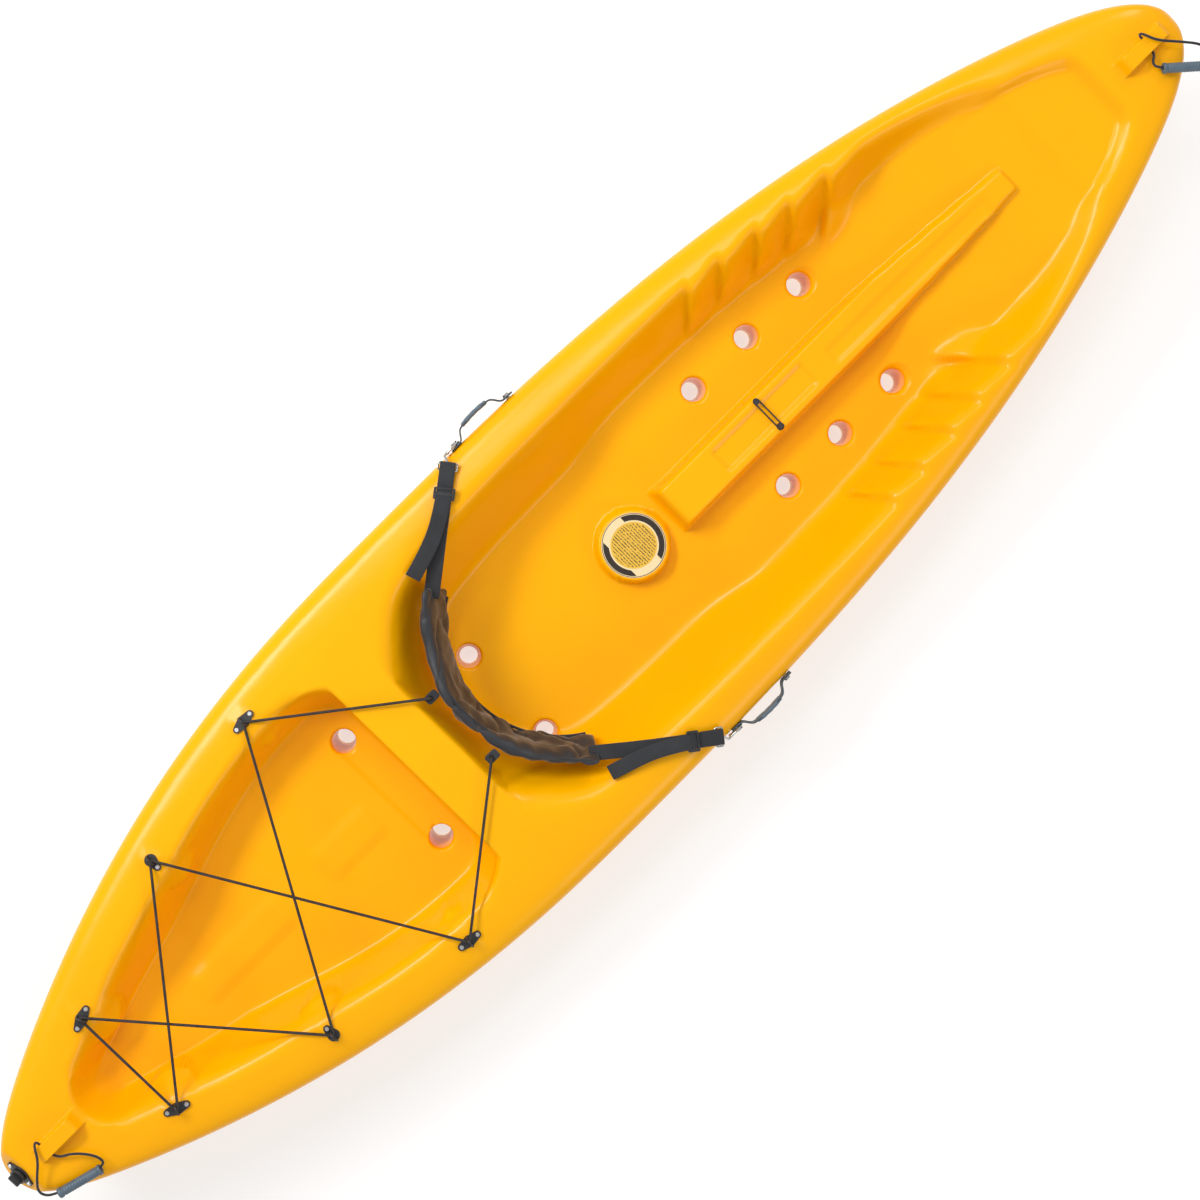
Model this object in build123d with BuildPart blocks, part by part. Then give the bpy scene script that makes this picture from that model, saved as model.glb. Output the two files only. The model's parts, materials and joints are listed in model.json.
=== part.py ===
"""One-person sit-on-top kayak: a hollow moulded hull with its fittings.

Millimetres. +X points to the bow, +Y to port, +Z up. The origin lies under the middle of the hull, on the ground.
"""

import math
import os

from build123d import *

# ---------------------------------------------------------------- driving sizes: hull
LENGTH = 2860.0  # over the moulding
BEAM = 710.0  # over the moulding
WALL = 5.0
RIM_HEIGHT = 225.0  # top of the deck edge amidships
BOW_RISE = 95.0  # the deck line climbs this much at the bow
STERN_RISE = 85.0
RIM_DEPTH = 48.0  # from the deck edge's top down to the widest line
KEEL_ROCKER = 80.0
STEM_RISE = 110.0
KEEL_SINK = 4.0  # the round bottom is planed off this far up, which leaves a flat to stand on
WIDEST_STATION = -250.0
DECK_FULLNESS = 0.854  # how square the upper and lower half of a section are; 0.55 would be round
BOTTOM_FULLNESS = 0.709
BOW_PLAN = (0.80, 2.8)  # how much of the beam is lost at the tip, and the power of that loss
STERN_PLAN = (0.85, 2.25)
NOSE_POWER = 40.0

# ---------------------------------------------------------------- driving sizes: wells
SEAT_FLOOR = 60.0
FOOT_FLOOR = 95.0
SEAT_BACK = -305.0  # station of the seat's back at its floor
FOOT_END = 690.0  # station where the footwell floor starts to climb
COCKPIT_HALF = 186.0  # half width of the cockpit floor
COCKPIT_FLARE = 0.55  # a well's side leans out this much for each millimetre of height
CONSOLE_HALF = 56.0  # half width at the foot of the ridge between the legs
CONSOLE_HEIGHT = 52.0
CONSOLE_START, CONSOLE_END = 205.0, 1035.0
CONSOLE_SLOPE = 10.0  # degrees
TRAY_START, TRAY_END = 340.0, 565.0  # shallow tray in the ridge's top
TRAY_HALF, TRAY_DEPTH = 24.0, 6.0
ROUND_BOSS_STATION, ROUND_BOSS_R, ROUND_BOSS_TOP = 124.0, 66.0, 90.0
TANK_FLOOR = 118.0
TANK_FRONT, TANK_BACK = -446.0, -1215.0
TANK_HALF = 208.0
TANK_FLARE = 0.35
RECESS_FLARE = 0.6
SCUPPER_THROAT = 17.0  # radius of the straight lower part
SCUPPER_MOUTH = 23.0  # radius at the floor
SCUPPER_STRAIGHT = 34.0  # height up to which the hole is straight
SCUPPER_HALF_TRACK = 124.0
FOOT_SCUPPERS = (402.0, 538.0, 674.0)
SEAT_SCUPPER_X = -235.0
SEAT_SCUPPERS_Y = (69.0, -131.0)
TANK_SCUPPER_X = -500.0

# ---------------------------------------------------------------- driving sizes: fittings
CLOSE = 0.05  # radial clearance of a fastener in its hole
RUN = 0.3  # clearance between pieces that move against each other
BUNGEE_R = 2.5
TOGGLE_CORD_R = 2.25
KEEPER_R = 1.5
RIDGE_WIDTH, RIDGE_HEIGHT, RIDGE_ROUND = 26.0, 20.0, 6.0
BOW_RIDGE = (1345.0, 120.0, 1352.0)  # middle, length and station of the cord's hole
STERN_RIDGE = (-1312.0, 108.0, -1336.0)
TOGGLE_R, TOGGLE_BORE_R, TOGGLE_LENGTH = 9.5, 4.5, 84.0
BOW_TOGGLE = (1344.0, -48.0, -41.0)  # inner end and heading of each grip, as it lies on the deck
STERN_TOGGLE = (-1298.0, -92.0, 165.0)
EYE_PITCH = 36.0  # rivet spacing of a two-rivet deck eye
EYE_SHORT_PITCH = 17.0  # from the rivet to the loop of a one-rivet deck eye
EYE_BASE, EYE_END_R, EYE_MIDDLE_R = 3.0, 6.5, 11.0
EYE_LEG, EYE_ARCH_R, EYE_WIRE_R = 11.5, 8.5, 2.0
EYE_SEAT = 1.5  # the flat moulded seat under an eye stands this proud
EYE_PLACES = {"front": (-583.0, 278.0), "middle": (-866.0, 214.0), "rear": (-1141.0, 114.0)}
RIVET_R, RIVET_HEAD_R, RIVET_HEAD, RIVET_GRIP = 2.0, 4.4, 1.8, 5.5
HANDLE_STATION, HANDLE_PITCH, HANDLE_Z = 85.0, 126.0, 182.0
HANDLE_WIDTH, HANDLE_STRAP, HANDLE_GRIP = 25.0, 3.0, 8.0
HANDLE_BULGE, HANDLE_GRIP_LENGTH = 24.0, 62.0
SCREW_R, SCREW_HEAD_R, SCREW_HEAD = 2.5, 6.0, 3.2
INSERT_R, INSERT_LENGTH = 4.5, 13.0
WASHER_R, WASHER = 8.0, 1.2
STUD_R, STUD_REACH, STUD_HEAD_R, STUD_HEAD = 4.0, 5.4, 7.0, 2.5
HOOK_WIRE_R, HOOK_BEND_R, HOOK_SLOT = 2.2, 8.0, 20.0
HOOK_RISE = 38.0  # degrees above level, aft of its stud
GATE_R, GATE_EYE_R, GATE_PIN_R, GATE_EYE = 1.7, 3.0, 1.0, 2.8
LOOP_CENTRE = (-14.0, 340.0, 216.5)  # the hook's strap loop, on the way from the stud to the backrest
LOOP_WIRE_R, LOOP_DEPTH = 1.8, 13.0
STRAP_WIDTH, STRAP_THICKNESS = 28.0, 2.2
PAD_THICKNESS = 34.0
PAD_LOW = (118.0, 180.0, -172.0, -278.0)  # height, half width, and stations of its ends and its middle
PAD_HIGH = (238.0, 216.0, -196.0, -300.0)
TAB_Y, TAB_LENGTH, TAB_WIDTH, TAB_THICKNESS, TAB_HOLE_R = 75.0, 22.0, 18.0, 3.5, 3.3
KEEPER_STATION, KEEPER_Y = 461.0, 31.5
KEEPER_NECK_R, KEEPER_CAP_R = 2.6, 5.5
DRAIN_TILT = 45.0  # the drain faces up and aft
DRAIN_FACET = (-1385.0, 302.0)
DRAIN_THREAD_R, DRAIN_SPIGOT_R = 10.0, 12.7
DRAIN_FLANGE, DRAIN_RIVET_Y = 4.0, 22.0
DRAIN_SEAL_GAP, DRAIN_SEAL_R = 2.4, 1.15
DECAL_R, DECAL_THICKNESS = 60.0, 0.6

os.makedirs("parts", exist_ok=True)
half_length = LENGTH / 2
half_beam = BEAM / 2


def keep(name, builder):
    """Label a finished piece and write its file."""
    builder.part.label = name
    export_step(builder.part, f"parts/{name}.step")


def keep_pair(name, builder):
    """Write a port piece and its mirror image to starboard."""
    keep(f"{name}_port", builder)
    with BuildPart() as twin:
        add(mirror(builder.part, about=Plane.XZ))
    keep(f"{name}_starboard", twin)


# ---------------------------------------------------------------- hull form
def fineness(x):
    """Share of the way from the widest station to the tip, and the plan numbers of that end."""
    if x > WIDEST_STATION:
        return (x - WIDEST_STATION) / (half_length - WIDEST_STATION), BOW_PLAN
    return (WIDEST_STATION - x) / (half_length + WIDEST_STATION), STERN_PLAN


def nose(x):
    """Rounds every section off to nothing at the tips."""
    share, _ = fineness(x)
    return math.sqrt(max(0.0, 1 - share**NOSE_POWER))


def half_breadth(x):
    share, (loss, power) = fineness(x)
    return half_beam * (1 - loss * share**power) * nose(x)


def widest_height(x):
    rise = BOW_RISE if x > 0 else STERN_RISE
    return RIM_HEIGHT + rise * abs(x / half_length) ** 2.5 - RIM_DEPTH


def keel_height(x):
    reach = abs(x / half_length)
    line = KEEL_ROCKER * reach**3.2 + STEM_RISE * reach**12 - KEEL_SINK
    return widest_height(x) - (widest_height(x) - line) * nose(x)


def quarter_height(across, fullness):
    """Height share at a breadth share on a quarter of a section: a cubic Bezier whose handles are (fullness) long."""
    low, high = 0.0, 1.0
    for _ in range(30):
        t = (low + high) / 2
        reached = 3 * (1 - t) ** 2 * t * fullness + 3 * (1 - t) * t**2 + t**3
        low, high = (t, high) if reached < across else (low, t)
    return (1 - t) ** 3 + 3 * (1 - t) ** 2 * t + 3 * (1 - t) * t**2 * fullness


def deck_height(x, y):
    """The unbroken deck, before the wells are sunk into it."""
    share = quarter_height(min(1.0, abs(y) / half_breadth(x)), DECK_FULLNESS)
    return widest_height(x) + RIM_DEPTH * nose(x) * share


drain_tilt = math.radians(DRAIN_TILT)
facet_x, facet_z = DRAIN_FACET
drain_plane = Plane(
    origin=(facet_x - 20, 0, facet_z - 20),
    x_dir=(0, 1, 0),
    z_dir=(-math.sin(drain_tilt), 0, math.cos(drain_tilt)),
)


def hull_form(inset):
    """The closed body of the kayak, lofted through its sections; inset shrinks it for the hollow inside."""
    shares = (0.9986, 0.993, 0.98, 0.955, 0.92, 0.87, 0.80, 0.70, 0.58, 0.44, 0.28, 0.12)
    reach = half_length - inset
    stations = [-s * reach for s in shares] + [s * reach for s in reversed(shares)]
    with BuildPart() as form:
        for x in stations:
            middle = widest_height(x)
            breadth = half_breadth(x) - inset
            up = RIM_DEPTH * nose(x) - inset
            down = middle - keel_height(x) - inset
            with BuildSketch(Plane(origin=(x, 0, middle), x_dir=(0, 1, 0), z_dir=(1, 0, 0))):
                with BuildLine():
                    for side, height, fullness in (
                        (1, -down, BOTTOM_FULLNESS), (1, up, DECK_FULLNESS),
                        (-1, up, DECK_FULLNESS), (-1, -down, BOTTOM_FULLNESS),
                    ):
                        edge = side * breadth
                        Bezier((0, height), (edge * fullness, height), (edge, height * fullness), (edge, 0))
                make_face()
        loft(ruled=True)
        # the flat that the hull stands on, and the facet that carries the drain
        split(bisect_by=Plane.XY.offset(inset), keep=Keep.TOP)
        split(bisect_by=drain_plane.offset(-inset), keep=Keep.BOTTOM)
    return form.part


def deck_plane(x, y, along):
    """A plane resting on the deck at (x, y), its x axis heading as near to (along) as the deck allows."""
    reach = 4.0
    slope_x = (deck_height(x + reach, y) - deck_height(x - reach, y)) / (2 * reach)
    slope_y = (deck_height(x, y + reach) - deck_height(x, y - reach)) / (2 * reach)
    return Plane(origin=(x, y, deck_height(x, y)), x_dir=Vector(*along, 0), z_dir=(-slope_x, -slope_y, 1))


# ---------------------------------------------------------------- wells
def flared_well(outline, floor, flare, profile, grow):
    """A well as a solid: a plan outline flared upwards, kept above a side profile of (station, height) points."""
    starboard = [(x, -y) for x, y in reversed(outline) if y > 0.01]
    with BuildPart() as well:
        with BuildSketch(Plane.XY.offset(floor - grow)):
            with BuildLine():
                Polyline(*outline, *starboard, close=True)
            make_face()
            if grow:
                offset(amount=grow * 1.15, kind=Kind.INTERSECTION)
        extrude(amount=420, taper=-math.degrees(math.atan(flare)))
        above = 520
        with BuildSketch(Plane.XZ):
            with BuildLine():
                Polyline(*profile, (profile[-1][0], above), (profile[0][0], above), close=True)
            make_face()
            if grow:
                offset(amount=grow, kind=Kind.INTERSECTION)
        extrude(amount=600, both=True, mode=Mode.INTERSECT)
    return well.part


def cockpit_well(grow):
    """Seat and footwell in one, open at the top."""
    outline = [
        (SEAT_BACK, 0), (SEAT_BACK + 18, 70), (SEAT_BACK + 60, 135), (SEAT_BACK + 130, COCKPIT_HALF),
        (450, COCKPIT_HALF), (650, 165), (870, 128), (960, 96), (1010, 40), (1010, 0),
    ]
    profile = [
        (SEAT_BACK - 58, 330), (SEAT_BACK - 24, SEAT_FLOOR + 20), (SEAT_BACK + 6, SEAT_FLOOR),
        (150, SEAT_FLOOR), (CONSOLE_START + 40, FOOT_FLOOR), (FOOT_END, FOOT_FLOOR), (1010, 205), (1080, 330),
    ]
    return flared_well(outline, SEAT_FLOOR, COCKPIT_FLARE, profile, grow)


def tank_well(grow):
    outline = [
        (TANK_FRONT, 0), (TANK_FRONT, TANK_HALF), (-600, 205), (-740, 180), (-866, 139), (-1000, 97),
        (-1141, 35), (TANK_BACK, 0),
    ]
    profile = [
        (TANK_FRONT + 12, 330), (TANK_FRONT, TANK_FLOOR), (-960, TANK_FLOOR), (-1200, 190), (TANK_BACK - 90, 330),
    ]
    return flared_well(outline, TANK_FLOOR, TANK_FLARE, profile, grow)


def bow_recess(grow):
    outline = [(930, 0), (940, 140), (1050, 124), (1150, 98), (1220, 60), (1265, 12), (1265, 0)]
    profile = [(900, 234), (1090, 252), (1240, 268), (1290, 330), (880, 330)]
    return flared_well(outline, 234, RECESS_FLARE, profile[:4], grow)


def console(inset, foot):
    """The ridge between the legs; inset shrinks it, foot is where it starts from below."""
    top = FOOT_FLOOR + CONSOLE_HEIGHT
    with BuildPart() as ridge:
        with BuildSketch(Plane.XY.offset(foot)):
            with Locations(((CONSOLE_START + CONSOLE_END) / 2, 0)):
                Rectangle(CONSOLE_END - CONSOLE_START - 2 * inset, 2 * (CONSOLE_HALF - inset))
        extrude(amount=300, taper=CONSOLE_SLOPE)
        with BuildSketch(Plane.XZ):
            with BuildLine():
                Polyline(
                    (CONSOLE_START - 9, 0), (CONSOLE_START - 9, top - 14), (CONSOLE_START + 30, top),
                    (760, top), (CONSOLE_END, 244), (CONSOLE_END + 40, 244), (CONSOLE_END + 40, 0), close=True,
                )
            make_face()
            if inset:
                offset(amount=-inset, kind=Kind.INTERSECTION)
        extrude(amount=200, both=True, mode=Mode.INTERSECT)
    return ridge.part


def scupper_places():
    """(x, y, floor height) of each self-draining hole."""
    places = [(x, side * SCUPPER_HALF_TRACK, FOOT_FLOOR) for x in FOOT_SCUPPERS for side in (1, -1)]
    places += [(SEAT_SCUPPER_X, y, SEAT_FLOOR) for y in SEAT_SCUPPERS_Y]
    places += [(TANK_SCUPPER_X, side * SCUPPER_HALF_TRACK, TANK_FLOOR) for side in (1, -1)]
    return places


def scuppers(grow):
    """All the drain holes as solids; grow thickens them into the posts that their walls are cut from."""
    with BuildPart() as holes:
        for x, y, floor in scupper_places():
            throat, mouth = SCUPPER_THROAT + grow, SCUPPER_MOUTH + grow
            with BuildSketch(Plane(origin=(x, y, 0), x_dir=(1, 0, 0), z_dir=(0, -1, 0))):
                with BuildLine():
                    Polyline(
                        (0, -20), (throat, -20), (throat, SCUPPER_STRAIGHT), (mouth, floor),
                        (mouth, floor + 2), (0, floor + 2), close=True,
                    )
                make_face()
            revolve(axis=Axis((x, y, 0), (0, 0, 1)))
    return holes.part


def eye_plane(place):
    """Where a deck eye sits to port: on its moulded seat, x axis along the line of its rivets."""
    x, y = EYE_PLACES[place]
    ahead = half_breadth(x + 10) - half_breadth(x - 10)
    along = (0.0, 1.0) if place == "middle" else (20.0, ahead)
    return deck_plane(x, y, along).offset(EYE_SEAT)


def eye_rivets_at(place):
    return [-EYE_SHORT_PITCH / 2] if place == "middle" else [-EYE_PITCH / 2, EYE_PITCH / 2]


def eye_loop_at(place):
    return EYE_SHORT_PITCH / 2 if place == "middle" else 0.0


def eye_slab(place, margin, thickness):
    """A slab on an eye's plane with the outline of its base: a hull round its rivets and its loop."""
    with BuildPart() as slab:
        with BuildSketch(eye_plane(place)):
            with BuildLine():
                for at in eye_rivets_at(place):
                    CenterArc((at, 0), EYE_END_R + margin, 0, 360)
                CenterArc((eye_loop_at(place), 0), EYE_MIDDLE_R + margin, 0, 360)
            make_hull()
        extrude(amount=thickness)
    return slab.part


# ---------------------------------------------------------------- the two carrying ridges
def carrying_ridge(middle, length, hole):
    """The moulded ridge at a tip, as (solid, height of the cord's hole)."""
    crown = max(deck_height(middle - length / 2, 0), deck_height(middle + length / 4, 0)) + RIDGE_HEIGHT
    with BuildPart() as ridge:
        with BuildSketch(Plane.XZ):
            with BuildLine():
                Polyline(
                    (middle - length / 2, crown - 45), (middle - length / 2 + 18, crown),
                    (middle + length / 2 - 18, crown), (middle + length / 2, crown - 45), close=True,
                )
            make_face()
        extrude(amount=RIDGE_WIDTH / 2, both=True)
        fillet(ridge.edges().filter_by(Axis.Y, reverse=True).group_by(Axis.Z)[-1], RIDGE_ROUND)
    return ridge.part, crown - RIDGE_HEIGHT / 2


bow_ridge, bow_hole_z = carrying_ridge(*BOW_RIDGE)
stern_ridge, stern_hole_z = carrying_ridge(*STERN_RIDGE)
cord_hole_r = TOGGLE_CORD_R + 1.25
side_screws = (HANDLE_STATION - HANDLE_PITCH / 2, HANDLE_STATION + HANDLE_PITCH / 2)
side_y = half_breadth(HANDLE_STATION)

eye_seats = [eye_slab(place, 1.5, -9) for place in EYE_PLACES]
eye_rivet_holes = []
for place in EYE_PLACES:
    with BuildPart() as rivet_hole:
        with BuildSketch(eye_plane(place)):
            with Locations(*[(at, 0) for at in eye_rivets_at(place)]):
                Circle(RIVET_R + CLOSE)
        extrude(amount=-RIVET_GRIP - 0.5)
    eye_rivet_holes.append(rivet_hole.part)

# ---------------------------------------------------------------- hull
with BuildPart() as hollow:
    add(hull_form(WALL))
    add(cockpit_well(WALL), mode=Mode.SUBTRACT)
    add(tank_well(WALL), mode=Mode.SUBTRACT)
    add(bow_recess(WALL), mode=Mode.SUBTRACT)
    add(console(WALL, 20))
    with BuildSketch(Plane.XY.offset(20)):
        with Locations((ROUND_BOSS_STATION, 0)):
            Circle(ROUND_BOSS_R - WALL)
    extrude(amount=ROUND_BOSS_TOP - WALL - 20)
    add(scuppers(WALL), mode=Mode.SUBTRACT)
    # bosses behind the side handles' inserts
    for side in (1, -1):
        with Locations(*[Location((x, side * side_y, HANDLE_Z), (-90, 0, 0)) for x in side_screws]):
            Cylinder(INSERT_R + WALL, 2 * (INSERT_LENGTH + WALL), mode=Mode.SUBTRACT)

with BuildPart() as hull:
    add(hull_form(0))
    add(cockpit_well(0), mode=Mode.SUBTRACT)
    add(tank_well(0), mode=Mode.SUBTRACT)
    add(bow_recess(0), mode=Mode.SUBTRACT)
    add(console(0, 50))
    with BuildSketch(Plane.XY.offset(50)):
        with Locations((ROUND_BOSS_STATION, 0)):
            Circle(ROUND_BOSS_R + 6)
    extrude(amount=ROUND_BOSS_TOP - 50, taper=8)
    # tray in the ridge's top
    with BuildSketch(Plane.XY.offset(FOOT_FLOOR + CONSOLE_HEIGHT)):
        with Locations(((TRAY_START + TRAY_END) / 2, 0)):
            Rectangle(TRAY_END - TRAY_START, 2 * TRAY_HALF)
    extrude(amount=-TRAY_DEPTH, mode=Mode.SUBTRACT)
    add(bow_ridge)
    add(stern_ridge)
    # flat seats under the deck eyes
    for seat in eye_seats:
        add(seat)
        add(mirror(seat, about=Plane.XZ))
    add(hollow.part, mode=Mode.SUBTRACT)
    add(scuppers(0), mode=Mode.SUBTRACT)
    # holes for the toggle cords, the inserts, the drain and the rivets
    ridge_top = FOOT_FLOOR + CONSOLE_HEIGHT
    with Locations((KEEPER_STATION, KEEPER_Y, ridge_top)):
        Cylinder(RIVET_R + CLOSE, 2 * RIVET_GRIP + 1, mode=Mode.SUBTRACT)
    for station, height in ((BOW_RIDGE[2], bow_hole_z), (STERN_RIDGE[2], stern_hole_z)):
        with Locations(Location((station, 0, height), (90, 0, 0))):
            Cylinder(cord_hole_r, RIDGE_WIDTH + 20, mode=Mode.SUBTRACT)
    for side in (1, -1):
        with Locations(*[Location((x, side * side_y, HANDLE_Z), (-90, 0, 0)) for x in side_screws]):
            Cylinder(INSERT_R + CLOSE, 2 * INSERT_LENGTH, mode=Mode.SUBTRACT)
    with Locations(drain_plane):
        Cylinder(DRAIN_SPIGOT_R + CLOSE, 4 * WALL, mode=Mode.SUBTRACT)
        with Locations((DRAIN_RIVET_Y, 0), (-DRAIN_RIVET_Y, 0)):
            Cylinder(RIVET_R + CLOSE, 4 * WALL, mode=Mode.SUBTRACT)
    for hole in eye_rivet_holes:
        add(hole, mode=Mode.SUBTRACT)
        add(mirror(hole, about=Plane.XZ), mode=Mode.SUBTRACT)
keep("hull", hull)
print("hull", hull.part.is_valid, len(hull.part.solids()), round(hull.part.volume / 1e6, 2), "litres")

# ---------------------------------------------------------------- drain at the stern
with BuildPart() as drain_flange:
    with BuildSketch(drain_plane):
        with BuildLine():
            CenterArc((0, 0), DRAIN_SPIGOT_R + 4.5, 0, 360)
            CenterArc((DRAIN_RIVET_Y, 0), 6.5, 0, 360)
            CenterArc((-DRAIN_RIVET_Y, 0), 6.5, 0, 360)
        make_hull()
    extrude(amount=DRAIN_FLANGE)
    with BuildSketch(drain_plane):
        Circle(DRAIN_SPIGOT_R)
    extrude(amount=-WALL - 4)
    with BuildSketch(drain_plane.offset(DRAIN_FLANGE)):
        Circle(DRAIN_THREAD_R)
    extrude(amount=-WALL - 4 - DRAIN_FLANGE, mode=Mode.SUBTRACT)
    with BuildSketch(drain_plane.offset(DRAIN_FLANGE)):
        with Locations((DRAIN_RIVET_Y, 0), (-DRAIN_RIVET_Y, 0)):
            Circle(RIVET_R + CLOSE)
    extrude(amount=-DRAIN_FLANGE, mode=Mode.SUBTRACT)
keep("drain_flange", drain_flange)


def rivets(plane, places, above, below):
    """Dome-headed rivets on a plane: their shanks reach (below) under it, and their heads sit (above) over it."""
    with BuildPart() as group:
        with BuildSketch(plane.offset(-below)):
            with Locations(*places):
                Circle(RIVET_R)
        extrude(amount=below + above + RIVET_HEAD / 2)
        with BuildSketch(plane.offset(above)):
            with Locations(*places):
                Circle(RIVET_HEAD_R)
        extrude(amount=RIVET_HEAD, taper=30)
    return group


drain_rivets = rivets(drain_plane, [(DRAIN_RIVET_Y, 0), (-DRAIN_RIVET_Y, 0)], DRAIN_FLANGE, WALL + 3)
keep("drain_rivets", drain_rivets)

drain_seat = drain_plane.offset(DRAIN_FLANGE)
drain_head = drain_plane.offset(DRAIN_FLANGE + DRAIN_SEAL_GAP)
with BuildPart() as drain_plug:
    with BuildSketch(drain_head):
        Circle(DRAIN_THREAD_R - RUN)
    extrude(amount=-DRAIN_SEAL_GAP - DRAIN_FLANGE - WALL - 2)
    with BuildSketch(drain_head):
        Circle(DRAIN_SPIGOT_R + 1.8)
    extrude(amount=5)
    with BuildSketch(drain_head.offset(5)):
        SlotOverall(23, 6)
    extrude(amount=11)
    chamfer(drain_plug.faces().sort_by(Axis(drain_head.origin, drain_head.z_dir))[-1].edges(), 1.2)
keep("drain_plug", drain_plug)

with BuildPart() as drain_seal:
    seal_r = DRAIN_THREAD_R + DRAIN_SEAL_R + 0.1
    seal_plane = Plane(drain_seat.origin, drain_seat.x_dir, drain_seat.x_dir.cross(drain_seat.z_dir))
    with BuildSketch(seal_plane):
        with Locations((seal_r, 0)):
            Circle(DRAIN_SEAL_R)
    revolve(axis=Axis(drain_seat.origin, drain_seat.z_dir))
drain_seal.part = drain_seal.part.moved(Location(tuple(drain_seat.z_dir * (DRAIN_SEAL_GAP / 2))))
keep("drain_seal", drain_seal)


# ---------------------------------------------------------------- cords and straps
def cord(route, radius, bend):
    """A round cord: straight runs through the points of a route, joined by tangent arcs."""
    with BuildPart() as tube:
        with BuildLine() as path:
            FilletPolyline(*route, radius=bend)
        with BuildSketch(Plane(origin=path.wire() @ 0, z_dir=path.wire() % 0)):
            Circle(radius)
        sweep()
    return tube


def ribbon(route, across, width, thickness):
    """A flat strap through the points of a route; across is the direction of its width."""
    points = [Vector(*point) for point in route]
    runs = [(b - a).normalized() for a, b in zip(points, points[1:])]
    ahead = [runs[0]] + [(a + b).normalized() for a, b in zip(runs, runs[1:])] + [runs[-1]]
    with BuildPart() as strap:
        for point, heading in zip(points, ahead):
            level = Vector(*across) - heading * Vector(*across).dot(heading)
            with BuildSketch(Plane(origin=point, x_dir=level, z_dir=heading)):
                Rectangle(width, thickness)
        loft(ruled=True)
    return strap


# ---------------------------------------------------------------- carrying toggles at bow and stern
def lying_toggle(x, y, heading):
    """A tubular grip lying on the deck, as (plane across its inner end, solid)."""
    turn = math.radians(heading)
    ahead_x, ahead_y = math.cos(turn), math.sin(turn)
    inner_half = [TOGGLE_LENGTH * share for share in (0, 0.25, 0.5)]
    height = max(deck_height(x + ahead_x * s, y + ahead_y * s) for s in inner_half) + TOGGLE_R + 1.5
    across = Plane(origin=(x, y, height), x_dir=(0, 0, 1), z_dir=(ahead_x, ahead_y, 0))
    with BuildPart() as grip:
        with BuildSketch(across):
            Circle(TOGGLE_R)
            Circle(TOGGLE_BORE_R, mode=Mode.SUBTRACT)
        extrude(amount=TOGGLE_LENGTH)
        chamfer(grip.edges().filter_by(GeomType.CIRCLE), 1.2)
    return across, grip


bow_across, bow_toggle_grip = lying_toggle(*BOW_TOGGLE)
stern_across, stern_toggle_grip = lying_toggle(*STERN_TOGGLE)
keep("bow_toggle_grip", bow_toggle_grip)
keep("stern_toggle_grip", stern_toggle_grip)


# ---------------------------------------------------------------- side handles and the studs of the backrest
def side_plane(x):
    """Flat against the port side at a screw, facing outboard."""
    return Plane(origin=(x, side_y + RUN, HANDLE_Z), x_dir=(-1, 0, 0), z_dir=(0, 1, 0))


def turned(plane, *steps):
    """Coaxial discs on a plane, each (radius, from, to)."""
    with BuildPart() as piece:
        for radius, start, end in steps:
            with BuildSketch(plane.offset(start)):
                Circle(radius)
            extrude(amount=end - start)
    return piece


rear_screw, front_screw = side_screws
strap_middle = side_y + RUN + HANDLE_STRAP / 2
grip_reach = (front_screw - rear_screw - HANDLE_GRIP_LENGTH) / 2
with BuildPart() as handle_ends:
    for screw, turn in ((rear_screw, 1), (front_screw, -1)):
        route = [
            (screw - turn * 11, strap_middle, HANDLE_Z),
            (screw + turn * 11, strap_middle, HANDLE_Z),
            (screw + turn * (grip_reach - RUN - HANDLE_STRAP / 2), strap_middle + HANDLE_BULGE - 5, HANDLE_Z),
        ]
        add(ribbon(route, (0, 0, 1), HANDLE_WIDTH, HANDLE_STRAP).part)
        with BuildSketch(side_plane(screw)):
            Circle(SCREW_R + CLOSE)
        extrude(amount=HANDLE_STRAP, both=True, mode=Mode.SUBTRACT)
keep_pair("handle_ends", handle_ends)

with BuildPart() as handle_grip:
    grip_middle = (HANDLE_STATION, strap_middle + HANDLE_BULGE - 4, HANDLE_Z)
    with Locations(grip_middle):
        Box(HANDLE_GRIP_LENGTH, HANDLE_GRIP, HANDLE_WIDTH)
    fillet(handle_grip.edges().filter_by(Axis.X), 3.0)
keep_pair("handle_grip", handle_grip)

deep = -INSERT_LENGTH + 1.5
with BuildPart() as handle_washer:
    with BuildSketch(side_plane(front_screw).offset(HANDLE_STRAP)):
        Circle(WASHER_R)
        Circle(SCREW_R + CLOSE, mode=Mode.SUBTRACT)
    extrude(amount=WASHER)
keep_pair("handle_washer", handle_washer)
handle_screw = turned(
    side_plane(front_screw),
    (SCREW_R, deep, HANDLE_STRAP + WASHER),
    (SCREW_HEAD_R, HANDLE_STRAP + WASHER, HANDLE_STRAP + WASHER + SCREW_HEAD),
)
keep_pair("handle_screw", handle_screw)
hook_stud = turned(
    side_plane(rear_screw),
    (SCREW_R, deep, HANDLE_STRAP),
    (STUD_R, HANDLE_STRAP, HANDLE_STRAP + STUD_REACH),
    (STUD_HEAD_R, HANDLE_STRAP + STUD_REACH, HANDLE_STRAP + STUD_REACH + STUD_HEAD),
)
keep_pair("hook_stud", hook_stud)

with BuildPart() as handle_inserts:
    for screw in side_screws:
        with BuildSketch(side_plane(screw).offset(-INSERT_LENGTH - RUN)):
            Circle(INSERT_R)
            Circle(SCREW_R + CLOSE, mode=Mode.SUBTRACT)
        extrude(amount=INSERT_LENGTH - 0.3)
keep_pair("handle_inserts", handle_inserts)

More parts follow.
